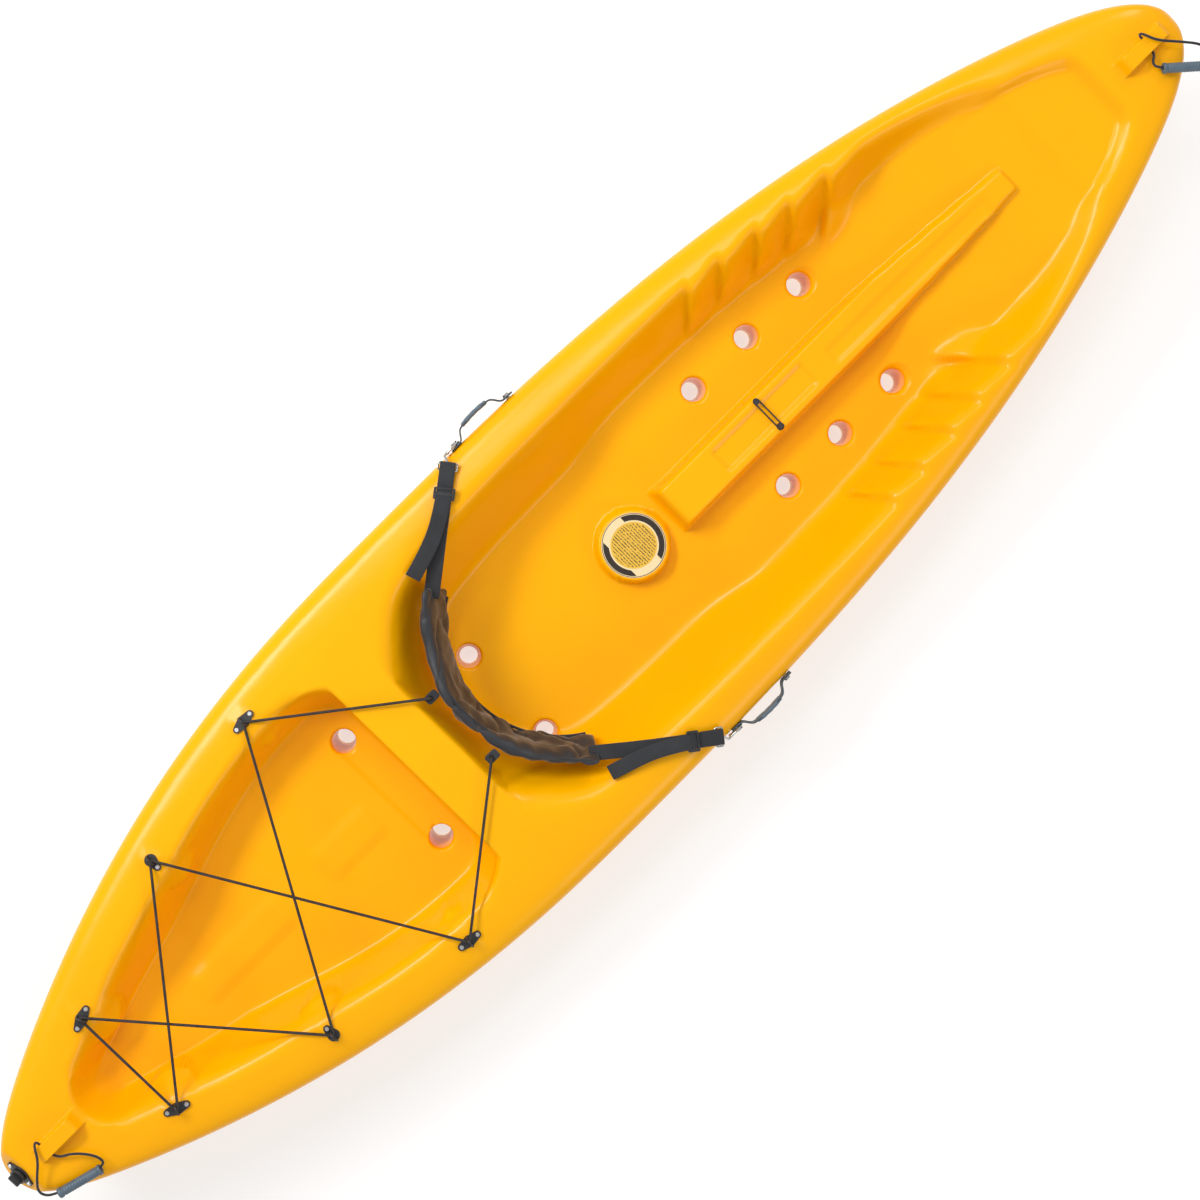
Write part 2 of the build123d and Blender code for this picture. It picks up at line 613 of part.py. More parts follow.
# ---------------------------------------------------------------- snap hooks
rise = math.radians(HOOK_RISE)
hook_y = side_y + RUN + HANDLE_STRAP + STUD_REACH / 2
hook_plane = Plane(origin=(rear_screw, hook_y, HANDLE_Z), x_dir=(-math.cos(rise), 0, math.sin(rise)), z_dir=(0, 1, 0))
neck, gate_pivot, lug = (HOOK_SLOT + 6, 0), (HOOK_SLOT - 1.5, -HOOK_BEND_R), (HOOK_SLOT + 1.9, -4.4)
loop_x, loop_y, loop_z = LOOP_CENTRE
pad_end = Vector(PAD_HIGH[2] + 8, PAD_HIGH[1] - 11, 0)
to_pad = Vector(pad_end.X - loop_x, pad_end.Y - loop_y, 0).normalized()
loop_plane = Plane(origin=LOOP_CENTRE, x_dir=to_pad.cross(Vector(0, 0, 1)), z_dir=(0, 0, 1))
loop_front = Vector(*LOOP_CENTRE) - to_pad * (LOOP_DEPTH / 2)
with BuildPart() as snap_hook:
    with BuildLine(hook_plane) as bend:
        Line((4, -HOOK_BEND_R), (0, -HOOK_BEND_R))
        CenterArc((0, 0), HOOK_BEND_R, -90, -180)
        Line((0, HOOK_BEND_R), (HOOK_SLOT - 2, HOOK_BEND_R))
        Line((HOOK_SLOT - 2, HOOK_BEND_R), neck)
    with BuildSketch(Plane(origin=bend.wire() @ 0, z_dir=bend.wire() % 0)):
        Circle(HOOK_WIRE_R)
    sweep(transition=Transition.ROUND)
    # from the neck up and inboard to the strap loop
    shank_foot = hook_plane.from_local_coords((*neck, 0))
    shank_knee = hook_plane.from_local_coords((HOOK_SLOT + 14, 0, 0))
    add(cord([tuple(shank_foot), tuple(shank_knee), tuple(loop_front)], HOOK_WIRE_R, 4).part)
    with Locations(shank_foot):
        Sphere(HOOK_WIRE_R + 0.4)
    # branch and cheeks that carry the gate
    with BuildLine() as branch:
        Line(shank_foot, hook_plane.from_local_coords((*lug, 0)))
    with BuildSketch(Plane(origin=branch.wire() @ 0, z_dir=branch.wire() % 0)):
        Circle(HOOK_WIRE_R)
    sweep()
    for side in (-1, 1):
        cheek = hook_plane.offset(side * (GATE_EYE / 2 + RUN))
        with BuildSketch(cheek):
            with BuildLine():
                CenterArc(gate_pivot, GATE_EYE_R, 0, 360)
                CenterArc((lug[0] + 0.8, lug[1] + 0.8), GATE_EYE_R, 0, 360)
            make_hull()
            with Locations(gate_pivot):
                Circle(GATE_PIN_R + CLOSE, mode=Mode.SUBTRACT)
        extrude(amount=side * 1.2)
    # closed rectangular loop for the strap
    with BuildLine(loop_plane) as frame:
        half_x, half_y = STRAP_WIDTH / 2 + 3, LOOP_DEPTH / 2
        corners = [(half_x, half_y), (half_x, -half_y), (-half_x, -half_y), (-half_x, half_y)]
        FilletPolyline(*corners, radius=3, close=True)
    with BuildSketch(Plane(origin=frame.wire() @ 0, z_dir=frame.wire() % 0)):
        Circle(LOOP_WIRE_R)
    sweep()
keep_pair("snap_hook", snap_hook)

with BuildPart() as hook_gate:
    with BuildSketch(hook_plane.offset(-GATE_EYE / 2)):
        with Locations(gate_pivot):
            Circle(GATE_EYE_R)
    extrude(amount=GATE_EYE)
    with BuildSketch(
        Plane(hook_plane.from_local_coords((4.5, -HOOK_BEND_R, 0)), hook_plane.y_dir, hook_plane.x_dir)
    ):
        Circle(GATE_R)
    extrude(amount=gate_pivot[0] - 4.5)
    with BuildSketch(hook_plane.offset(-4)):
        with Locations(gate_pivot):
            Circle(GATE_PIN_R + 0.02)
    extrude(amount=8, mode=Mode.SUBTRACT)
keep_pair("hook_gate", hook_gate)
with BuildPart() as gate_pin:
    pin_half = GATE_EYE / 2 + RUN + 1.6
    with BuildSketch(hook_plane.offset(-pin_half)):
        with Locations(gate_pivot):
            Circle(GATE_PIN_R)
    extrude(amount=2 * pin_half)
keep_pair("gate_pin", gate_pin)

# ---------------------------------------------------------------- backrest
def pad_arc(level):
    """(centre, radius, half span in degrees) of the pad's middle line at one level."""
    _, half_width, ends, middle = level
    sagitta = ends - middle
    radius = (sagitta**2 + half_width**2) / (2 * sagitta)
    return (middle + radius, 0), radius, math.degrees(math.asin(half_width / radius))


with BuildPart() as backrest_pad:
    for level in (PAD_LOW, PAD_HIGH):
        centre, radius, span = pad_arc(level)
        with BuildSketch(Plane.XY.offset(level[0])):
            with BuildLine():
                outer = CenterArc(centre, radius + PAD_THICKNESS / 2, 180 - span, 2 * span)
                inner = CenterArc(centre, radius - PAD_THICKNESS / 2, 180 - span, 2 * span)
                Line(outer @ 0, inner @ 0)
                Line(outer @ 1, inner @ 1)
            make_face()
    loft(ruled=True)
keep("backrest_pad", backrest_pad)

tab_z = PAD_HIGH[0] - 6
tab_centre, tab_radius, _ = pad_arc(PAD_HIGH)
tab_root = tab_centre[0] - math.sqrt((tab_radius + PAD_THICKNESS / 2) ** 2 - TAB_Y**2) - RUN
tab_hole_x = tab_root - TAB_LENGTH + TAB_WIDTH / 2 - 2
with BuildPart() as backrest_tab:
    with BuildSketch(Plane.XY.offset(tab_z - TAB_THICKNESS / 2)):
        with Locations((tab_root - 3 - TAB_LENGTH / 2, TAB_Y)):
            RectangleRounded(TAB_LENGTH, TAB_WIDTH, 4)
        with Locations((tab_hole_x, TAB_Y)):
            Circle(TAB_HOLE_R, mode=Mode.SUBTRACT)
    extrude(amount=TAB_THICKNESS)
keep_pair("backrest_tab", backrest_tab)

loop_back = Vector(*LOOP_CENTRE) + to_pad * (LOOP_DEPTH / 2 + LOOP_WIRE_R + RUN)
strap_route = [tuple(loop_back), (-56, 308, 222.3), (-96, 277, 225.0), (-180, 212, 205)]
level_across = tuple(to_pad.cross(Vector(0, 0, 1)))
backrest_strap = ribbon(strap_route, level_across, STRAP_WIDTH, STRAP_THICKNESS)
keep_pair("backrest_strap", backrest_strap)
tail_route = [(-72, 297, 228.5), (-115, 272, 232), (-160, 256, 231), (-196, 246, 223)]
strap_tail = ribbon(tail_route, level_across, STRAP_WIDTH, STRAP_THICKNESS)
keep_pair("strap_tail", strap_tail)
with BuildPart() as strap_slider:
    slider_plane = Plane(origin=(-52, 310.8, 225.0), x_dir=to_pad.cross(Vector(0, 0, 1)), z_dir=(0, 0, 1))
    with BuildSketch(slider_plane):
        RectangleRounded(STRAP_WIDTH + 10, 22, 3)
        with Locations((0, 5), (0, -5)):
            Rectangle(STRAP_WIDTH + 1, 5, mode=Mode.SUBTRACT)
    extrude(amount=3)
keep_pair("strap_slider", strap_slider)


# ---------------------------------------------------------------- deck eyes, their rivets and the bungee
for place in EYE_PLACES:
    base = eye_plane(place)
    loop_origin = base.from_local_coords((eye_loop_at(place), 0, 0))
    loop_x_dir = base.x_dir if place == "middle" else base.y_dir
    with BuildPart() as deck_eye:
        add(eye_slab(place, 0, EYE_BASE))
        with BuildLine(Plane(origin=loop_origin, x_dir=loop_x_dir, z_dir=loop_x_dir.cross(base.z_dir))) as arch:
            Line((-EYE_ARCH_R, EYE_BASE / 2), (-EYE_ARCH_R, EYE_LEG))
            CenterArc((0, EYE_LEG), EYE_ARCH_R, 180, -180)
            Line((EYE_ARCH_R, EYE_LEG), (EYE_ARCH_R, EYE_BASE / 2))
        with BuildSketch(Plane(origin=arch.wire() @ 0, z_dir=arch.wire() % 0)):
            Circle(EYE_WIRE_R)
        sweep()
        with BuildSketch(base):
            with Locations(*[(at, 0) for at in eye_rivets_at(place)]):
                Circle(RIVET_R + CLOSE)
        extrude(amount=EYE_BASE, mode=Mode.SUBTRACT)
    keep_pair(f"deck_eye_{place}", deck_eye)
with BuildPart() as eye_rivets:
    for place in EYE_PLACES:
        places = [(at, 0) for at in eye_rivets_at(place)]
        add(rivets(eye_plane(place), places, EYE_BASE, RIVET_GRIP).part)
keep_pair("eye_rivets", eye_rivets)

# one elastic cord laced through the six eyes; its two ends run on as tails to the backrest
BUNGEE_ROUTE = [
    (-567.5, 265.5, 234.1), (-583.3, 277.8, 233.7), (-864.9, -223.1, 250.7), (-1142.0, 119.8, 278.4),
    (-1141.4, -120.1, 284.0), (-864.6, 223.7, 256.2), (-583.1, -278.6, 239.3), (-567.4, -266.3, 239.3),
]
eye_bend = EYE_WIRE_R + RUN + BUNGEE_R
deck_bungee = cord(BUNGEE_ROUTE, BUNGEE_R, eye_bend)
keep("deck_bungee", deck_bungee)
TAIL_ROUTES = {
    "port": [(-567.3, 265.3, 234.1), (-322.5, 75.0, 240.0), (-322.5, 75.0, 224.0)],
    "starboard": [(-567.2, -266.1, 239.3), (-322.5, -75.0, 240.0), (-322.5, -75.0, 224.0)],
}
for side, route in TAIL_ROUTES.items():
    tail = cord(route, BUNGEE_R, 6)
    with BuildPart() as bungee_tail:
        add(tail.part)
        with Locations(route[-1]):
            Sphere(2.1 * BUNGEE_R)
    keep(f"bungee_tail_{side}", bungee_tail)


def widest_bends(route):
    """The largest tangent arc that each corner of a free route has room for."""
    points = [Vector(*point) for point in route]
    bends = []
    for before, at, after in zip(points, points[1:], points[2:]):
        turn = math.radians((at - before).get_angle(after - at))
        bends.append(0.45 * min((at - before).length, (after - at).length) / math.tan(turn / 2))
    return bends


BOW_CORD_ROUTE = [
    (1375.0, -75.0, 313.1), (1337.2, -42.0, 313.1), (1338.0, -27.0, 313.8), (1352.0, -21.0, 314.3),
    (1352.0, 22.0, 314.3), (1352.5, 22.5, 331.0), (1362.0, -4.0, 332.0), (1392.0, -34.0, 324.0),
    (1420.0, -64.0, 317.0), (1427.0, -89.0, 314.0), (1418.7, -113.0, 313.1), (1376.6, -76.4, 313.1),
]
STERN_CORD_ROUTE = [
    (-1337.6, -81.4, 299.5), (-1288.0, -94.7, 299.5), (-1284.0, -72.0, 303.0), (-1307.0, -38.0, 307.0),
    (-1336.0, -22.0, 308.1), (-1336.0, 22.0, 308.1), (-1338.0, 22.5, 325.0), (-1352.0, -2.0, 326.5),
    (-1378.0, -22.0, 319.0), (-1401.0, -44.0, 308.0), (-1388.0, -67.9, 299.5), (-1339.6, -80.9, 299.5),
]
for name, route in (("bow_toggle_cord", BOW_CORD_ROUTE), ("stern_toggle_cord", STERN_CORD_ROUTE)):
    bends = widest_bends(route)
    print(name, "bend radii", [round(bend, 1) for bend in bends])
    keep(name, cord(route, TOGGLE_CORD_R, bends))

# ---------------------------------------------------------------- keeper across the ridge between the legs
keeper_plane = Plane(origin=(KEEPER_STATION, KEEPER_Y, ridge_top), z_dir=(0, 0, 1))
keeper_button = turned(
    keeper_plane,
    (RIVET_R, -RIVET_GRIP, 0),
    (KEEPER_CAP_R + 0.5, 0, 1.2),
    (KEEPER_NECK_R, 1.2, 5.2),
    (KEEPER_CAP_R, 5.2, 7.0),
)
keep("keeper_button", keeper_button)
with BuildPart() as keeper_grommet:
    with BuildSketch(Plane(origin=(KEEPER_STATION, -KEEPER_Y, ridge_top), z_dir=(0, 0, 1))):
        Circle(KEEPER_CAP_R + 1.5)
        Circle(KEEPER_NECK_R, mode=Mode.SUBTRACT)
    extrude(amount=1.2)
keep("keeper_grommet", keeper_grommet)
with BuildPart() as keeper_knot:
    with Locations((KEEPER_STATION, -KEEPER_Y, ridge_top + 1.2 + RUN + 3.6)):
        Cylinder(KEEPER_CAP_R, 7.2)
    fillet(keeper_knot.edges().filter_by(GeomType.CIRCLE), 2)
keep("keeper_knot", keeper_knot)
loop_half = KEEPER_NECK_R + RUN + KEEPER_R
strand_z = ridge_top + 1.2 + RUN + KEEPER_R
strand_end = -KEEPER_Y + math.sqrt(KEEPER_CAP_R**2 - (loop_half - KEEPER_R) ** 2) + RUN
with BuildPart() as keeper_cord:
    with BuildLine() as loop:
        Line((KEEPER_STATION - loop_half, strand_end, strand_z), (KEEPER_STATION - loop_half, KEEPER_Y, strand_z))
        ThreePointArc(
            (KEEPER_STATION - loop_half, KEEPER_Y, strand_z),
            (KEEPER_STATION, KEEPER_Y + loop_half, strand_z),
            (KEEPER_STATION + loop_half, KEEPER_Y, strand_z),
        )
        Line((KEEPER_STATION + loop_half, KEEPER_Y, strand_z), (KEEPER_STATION + loop_half, strand_end, strand_z))
    with BuildSketch(Plane(origin=loop.wire() @ 0, z_dir=loop.wire() % 0)):
        Circle(KEEPER_R)
    sweep()
keep("keeper_cord", keeper_cord)

with BuildPart() as round_decal:
    with BuildSketch(Plane(origin=(ROUND_BOSS_STATION, 0, ROUND_BOSS_TOP), z_dir=(0, 0, 1))):
        Circle(DECAL_R)
    extrude(amount=DECAL_THICKNESS)
keep("round_decal", round_decal)
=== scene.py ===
import json
import math

import bpy
import numpy as np
from mathutils import Matrix, Vector


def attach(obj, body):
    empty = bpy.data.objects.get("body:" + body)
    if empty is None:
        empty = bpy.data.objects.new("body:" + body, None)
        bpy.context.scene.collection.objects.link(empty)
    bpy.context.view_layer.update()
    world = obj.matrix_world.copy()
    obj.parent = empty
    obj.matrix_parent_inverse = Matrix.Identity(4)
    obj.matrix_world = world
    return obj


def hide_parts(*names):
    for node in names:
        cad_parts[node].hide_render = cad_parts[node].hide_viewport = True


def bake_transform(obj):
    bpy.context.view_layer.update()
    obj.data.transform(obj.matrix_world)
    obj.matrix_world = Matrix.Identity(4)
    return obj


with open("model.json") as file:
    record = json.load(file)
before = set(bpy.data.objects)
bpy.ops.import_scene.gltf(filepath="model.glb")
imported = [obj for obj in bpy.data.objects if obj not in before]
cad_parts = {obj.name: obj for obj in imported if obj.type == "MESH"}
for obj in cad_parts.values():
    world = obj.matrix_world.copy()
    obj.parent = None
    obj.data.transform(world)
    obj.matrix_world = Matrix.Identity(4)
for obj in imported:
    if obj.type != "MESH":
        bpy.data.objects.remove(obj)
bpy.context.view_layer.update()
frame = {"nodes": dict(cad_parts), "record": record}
nodes = frame["nodes"]
sides = {"port": 1, "starboard": -1}

cameraRig = {"place": (0.0, 0.30, 3.825), "target": (0.009, -0.015, 0.225), "lens": 61.4}
lamps = {  # name: (place, target, size, watts)
    "keyLamp": ((-0.9, 2.9, 3.1), (0, 0, 0.1), (2.2, 0.7), 92),
    "topLamp": ((0.9, 2.3, 4.6), (0, 0, 0), (2.4, 1.2), 52),
    "fillLamp": ((0.5, -3.4, 2.4), (0, 0, 0.1), (2.6, 0.8), 24),
    "bowLamp": ((3.2, 1.2, 2.4), (0.8, 0, 0.2), (0.5, 1.4), 16),
}


def addCamera():  # over the port deck edge, rolled so that the bow points up and to the right
    place, target = Vector(cameraRig["place"]), Vector(cameraRig["target"])
    ahead = (target - place).normalized()
    up = Vector((1, 1, 0)).normalized()
    up = (up - ahead * up.dot(ahead)).normalized()
    turn = Matrix((ahead.cross(up), up, -ahead)).transposed()
    data = bpy.data.cameras.new("camera")
    data.lens, data.sensor_width = cameraRig["lens"], 36
    camera = bpy.data.objects.new("camera", data)
    camera.matrix_world = Matrix.Translation(place) @ turn.to_4x4()
    bpy.context.scene.collection.objects.link(camera)
    bpy.context.scene.camera = camera


def addLamps():
    for name, (place, target, size, watts) in lamps.items():
        data = bpy.data.lights.new(name, "AREA")
        data.shape, data.energy = "RECTANGLE", watts
        data.size, data.size_y = size
        lamp = bpy.data.objects.new(name, data)
        lamp.location = place
        lamp.rotation_euler = (Vector(target) - Vector(place)).to_track_quat("-Z", "Y").to_euler()
        bpy.context.scene.collection.objects.link(lamp)
    world = bpy.data.worlds.new("studio")
    world.use_nodes = True
    world.node_tree.nodes["Background"].inputs["Color"].default_value = (1, 1, 1, 1)
    world.node_tree.nodes["Background"].inputs["Strength"].default_value = 0.5
    bpy.context.scene.world = world
    bpy.context.scene.view_settings.view_transform = "Standard"


addCamera()
addLamps()
print("camera and lamps set")


# every shape below is worked out in millimetres and written in metres
def newPiece(name, points, faces, material, uv=None):
    mesh = bpy.data.meshes.new(name)
    mesh.from_pydata((np.asarray(points, float) / 1000).tolist(), [], faces)
    mesh.update()
    if uv is not None:  # one pair for each point
        pairs = np.asarray(uv, np.float32)[cornersOf(mesh)]
        mesh.uv_layers.new(name="cloth").data.foreach_set("uv", pairs.ravel())
    mesh.polygons.foreach_set("use_smooth", [True] * len(mesh.polygons))
    mesh.materials.append(material)
    piece = bpy.data.objects.new(name, mesh)
    bpy.context.scene.collection.objects.link(piece)
    return piece


def cornersOf(mesh):  # the point of every face corner
    corners = np.empty(len(mesh.loops), np.int32)
    mesh.loops.foreach_get("vertex_index", corners)
    return corners


def pointsOf(mesh):  # in millimetres
    points = np.empty(len(mesh.vertices) * 3)
    mesh.vertices.foreach_get("co", points)
    return points.reshape(-1, 3) * 1000


def applyModifiers(piece):
    mesh = bpy.data.meshes.new_from_object(piece.evaluated_get(bpy.context.evaluated_depsgraph_get()))
    piece.modifiers.clear()
    piece.data = mesh


def ringFaces(rows, around):  # quads between rings, each ring's last point joined to its first
    row = np.arange(rows - 1)[:, None] * around
    this = np.arange(around)[None, :]
    after = (this + 1) % around
    faces = np.stack([row + this, row + after, row + around + after, row + around + this], -1)
    return faces.reshape(-1, 4).tolist()


def cappedFaces(rows, around):  # closed by a flat face at each end
    tail = (rows - 1) * around
    return ringFaces(rows, around) + [list(range(around))[::-1], list(range(tail, tail + around))]


def poledFaces(rows, around):  # closed by fans round two end points, which are written last
    tail, pole = (rows - 1) * around, rows * around
    pairs = [(j, (j + 1) % around) for j in range(around)]
    return (ringFaces(rows, around) + [[pole, after, j] for j, after in pairs]
            + [[pole + 1, tail + j, tail + after] for j, after in pairs])


def circle(around):  # angles of the points of a ring
    return np.arange(around) * 2 * math.pi / around


def flattened(value, power):  # |value| ^ power with the sign kept, which squares a ring's corners
    return np.sign(value) * np.abs(value) ** power


def runAlong(line):  # distance from the start at each point
    return np.concatenate([[0], np.cumsum(np.linalg.norm(np.diff(line, axis=0), axis=1))])


def unit(vectors):
    return vectors / np.maximum(np.linalg.norm(vectors, axis=-1, keepdims=True), 1e-9)


def smoothMin(a, b, soft):  # the lower of two surfaces, blended over (soft) where they cross
    h = np.clip(0.5 + 0.5 * (b - a) / soft, 0, 1)
    return b + (a - b) * h - soft * h * (1 - h)


def smoothMax(a, b, soft):
    return -smoothMin(-a, -b, soft)


def smoothStep(value, start, end):
    share = np.clip((value - start) / (end - start), 0, 1)
    return share * share * (3 - 2 * share)


# shared surface effects
def newEffect(name, inputs, outputs):
    group = bpy.data.node_groups.new(name, "ShaderNodeTree")
    for label, value in inputs.items():
        group.interface.new_socket(label, in_out="INPUT", socket_type="NodeSocketFloat").default_value = value
    for label, kind in outputs.items():
        group.interface.new_socket(label, in_out="OUTPUT", socket_type=kind)
    return group, group.nodes.new("NodeGroupInput"), group.nodes.new("NodeGroupOutput")


def addNode(tree, kind, inputs, **settings):  # its inputs are set to values or linked to sockets
    node = tree.nodes.new(kind)
    for key, value in settings.items():
        setattr(node, key, value)
    for key, value in inputs.items():
        if isinstance(value, bpy.types.NodeSocket):
            tree.links.new(value, node.inputs[key])
        else:
            node.inputs[key].default_value = value
    return node


def objectPlace(tree):
    return addNode(tree, "ShaderNodeTexCoord", {}).outputs["Object"]


def noise(tree, place, scale, detail, **more):
    inputs = {"Vector": place, "Scale": scale, "Detail": detail, **more}
    return addNode(tree, "ShaderNodeTexNoise", inputs).outputs["Fac"]


def rescale(tree, value, low, high, start=0.0, end=1.0):  # from start..end to low..high
    inputs = {"Value": value, "From Min": start, "From Max": end, "To Min": low, "To Max": high}
    return addNode(tree, "ShaderNodeMapRange", inputs).outputs["Result"]


def bump(tree, height, strength, distance, **more):
    inputs = {"Height": height, "Strength": strength, "Distance": distance, **more}
    return addNode(tree, "ShaderNodeBump", inputs).outputs["Normal"]


def maths(tree, operation, *values, **settings):
    node = addNode(tree, "ShaderNodeMath", dict(enumerate(values)), operation=operation, **settings)
    return node.outputs[0]


def mouldedGrain():  # fine grain left by the mould, as a normal
    inputs, outputs = {"Scale": 400, "Height": 0.1}, {"Normal": "NodeSocketVector"}
    group, start, end = newEffect("mouldedGrain", inputs, outputs)
    cloud = noise(group, objectPlace(group), start.outputs["Scale"], 3.0)
    group.links.new(bump(group, cloud, start.outputs["Height"], 0.0005), end.inputs["Normal"])
    return group


def softPatches():  # uneven fading, dust and handling wear, as a mask
    inputs, outputs = {"Scale": 6, "From": 0.45, "To": 0.75}, {"Mask": "NodeSocketFloat"}
    group, start, end = newEffect("softPatches", inputs, outputs)
    cloud = noise(group, objectPlace(group), start.outputs["Scale"], 6.0, Roughness=0.62)
    mask = rescale(group, cloud, 0.0, 1.0, start.outputs["From"], start.outputs["To"])
    group.links.new(mask, end.inputs["Mask"])
    return group


def clothWeave():  # threads over and under, on the piece's own UV in metres
    inputs, outputs = {"Along": 2600, "Across": 3600}, {"Height": "NodeSocketFloat"}
    group, start, end = newEffect("clothWeave", inputs, outputs)
    uv = addNode(group, "ShaderNodeTexCoord", {}).outputs["UV"]
    split = addNode(group, "ShaderNodeSeparateXYZ", {"Vector": uv})
    waves = []
    for axis, label in (("X", "Along"), ("Y", "Across")):
        angle = maths(group, "MULTIPLY", split.outputs[axis], start.outputs[label])
        waves.append(maths(group, "SINE", angle))
    cross = maths(group, "MULTIPLY", *waves)
    group.links.new(maths(group, "MULTIPLY_ADD", cross, 0.5, 0.5), end.inputs["Height"])
    return group


effects = {"grain": mouldedGrain(), "patches": softPatches(), "weave": clothWeave()}


def useEffect(tree, name, values):
    node = tree.nodes.new("ShaderNodeGroup")
    node.node_tree = effects[name]
    for key, value in values.items():
        node.inputs[key].default_value = value
    return node.outputs[0]


def newMaterial(name, **values):
    material = bpy.data.materials.new(name)
    material.use_nodes = True
    tree = material.node_tree
    shader = tree.nodes["Principled BSDF"]
    for key, value in values.items():
        shader.inputs[key.replace("_", " ")].default_value = value
    return material, tree, shader


def mixColours(tree, mask, first, second):
    mix = addNode(tree, "ShaderNodeMix", {0: mask}, data_type="RGBA")
    for socket, value in ((mix.inputs[6], first), (mix.inputs[7], second)):
        if isinstance(value, bpy.types.NodeSocket):
            tree.links.new(value, socket)
        else:
            socket.default_value = (*value, 1)
    return mix.outputs[2]


def mouldedPlastic(name, colour, dull, rough, grain=(700, 0.12)):  # two soft tones, dull where handled
    material, tree, shader = newMaterial(name)
    mask = useEffect(tree, "patches", {"Scale": 60, "From": 0.4, "To": 0.75})
    tree.links.new(mixColours(tree, mask, colour, dull), shader.inputs["Base Color"])
    tree.links.new(rescale(tree, mask, rough, rough + 0.13), shader.inputs["Roughness"])
    normal = useEffect(tree, "grain", {"Scale": grain[0], "Height": grain[1]})
    tree.links.new(normal, shader.inputs["Normal"])
    return material


def wovenCloth(name, thread, gap, along, across, depth):  # light threads over dark gaps
    material, tree, shader = newMaterial(name, Roughness=0.8, Sheen_Weight=0.25, Sheen_Roughness=0.4)
    weave = useEffect(tree, "weave", {"Along": along, "Across": across})
    fade = useEffect(tree, "patches", {"Scale": 14, "From": 0.4, "To": 0.75})
    worn = mixColours(tree, fade, thread, tuple(1.5 * c + 0.01 for c in thread))
    tree.links.new(mixColours(tree, weave, gap, worn), shader.inputs["Base Color"])
    tree.links.new(bump(tree, weave, 0.7, depth), shader.inputs["Normal"])
    return material


def packCloth(name):  # coated nylon of the backrest: fine weave on Object coordinates, and soft creases
    material, tree, shader = newMaterial(name, Sheen_Weight=0.3, Sheen_Roughness=0.35)
    place = objectPlace(tree)
    fine = addNode(tree, "ShaderNodeTexVoronoi", {"Vector": place, "Scale": 900.0}).outputs["Distance"]
    crease = noise(tree, place, 45.0, 5.0, Roughness=0.6)
    fade = useEffect(tree, "patches", {"Scale": 11, "From": 0.35, "To": 0.8})
    cloth = mixColours(tree, fade, (0.018, 0.019, 0.023), (0.036, 0.038, 0.044))
    tree.links.new(cloth, shader.inputs["Base Color"])
    tree.links.new(rescale(tree, crease, 0.38, 0.6), shader.inputs["Roughness"])
    broad = bump(tree, crease, 0.5, 0.004)
    tree.links.new(bump(tree, fine, 0.25, 0.0004, Normal=broad), shader.inputs["Normal"])
    return material


def drawnMetal(name, colour, rough):  # fine scratches drawn out along one way
    material, tree, shader = newMaterial(name, Metallic=1.0)
    stretch = addNode(tree, "ShaderNodeMapping", {"Vector": objectPlace(tree), "Scale": (60, 900, 900)})
    grain = noise(tree, stretch.outputs["Vector"], 2.0, 4.0)
    tree.links.new(rescale(tree, grain, rough * 0.6, rough * 1.6), shader.inputs["Roughness"])
    tree.links.new(bump(tree, grain, 0.15, 0.0002), shader.inputs["Normal"])
    tone = mixColours(tree, grain, colour, tuple(c * 0.75 for c in colour))
    tree.links.new(tone, shader.inputs["Base Color"])
    return material


hullSkin = {
    "bright": (1.0, 0.47, 0.0),
    "deep": (1.0, 0.425, 0.0),
    "scuffed": (0.9, 0.6, 0.2),
    "scuffHeight": 0.03,
}


def hullPlastic():  # waxy moulded skin: slow colour drift, faint orange peel, drag marks under the keel
    material, tree, shader = newMaterial("hullPlastic", Specular_IOR_Level=0.22)
    place = objectPlace(tree)
    cloud = useEffect(tree, "patches", {"Scale": 2.2, "From": 0.3, "To": 0.75})
    skin = mixColours(tree, cloud, hullSkin["bright"], hullSkin["deep"])
    height = addNode(tree, "ShaderNodeSeparateXYZ", {"Vector": place}).outputs["Z"]
    low = rescale(tree, height, 0.0, 1.0, hullSkin["scuffHeight"], 0.0)
    drawn = addNode(tree, "ShaderNodeMapping", {"Vector": place, "Scale": (3, 70, 20)}).outputs["Vector"]
    streak = noise(tree, drawn, 4.0, 8.0, Roughness=0.7)
    scuffs = maths(tree, "MULTIPLY", low, rescale(tree, streak, 0.0, 1.0, 0.56, 0.66))
    tree.links.new(mixColours(tree, scuffs, skin, hullSkin["scuffed"]), shader.inputs["Base Color"])
    worn = maths(tree, "MULTIPLY_ADD", scuffs, 0.3, rescale(tree, cloud, 0.19, 0.26))
    tree.links.new(worn, shader.inputs["Roughness"])
    broad = bump(tree, noise(tree, place, 11.0, 2.0), 0.35, 0.004)
    fine = bump(tree, noise(tree, place, 420.0, 2.0), 0.06, 0.001, Normal=broad)
    tree.links.new(fine, shader.inputs["Normal"])
    return material


decalPrint = {"centre": (0.124, 0.0, 0.0), "ground": (0.80, 0.50, 0.06), "edge": (0.86, 0.72, 0.42),
              "ink": (0.035, 0.025, 0.02)}


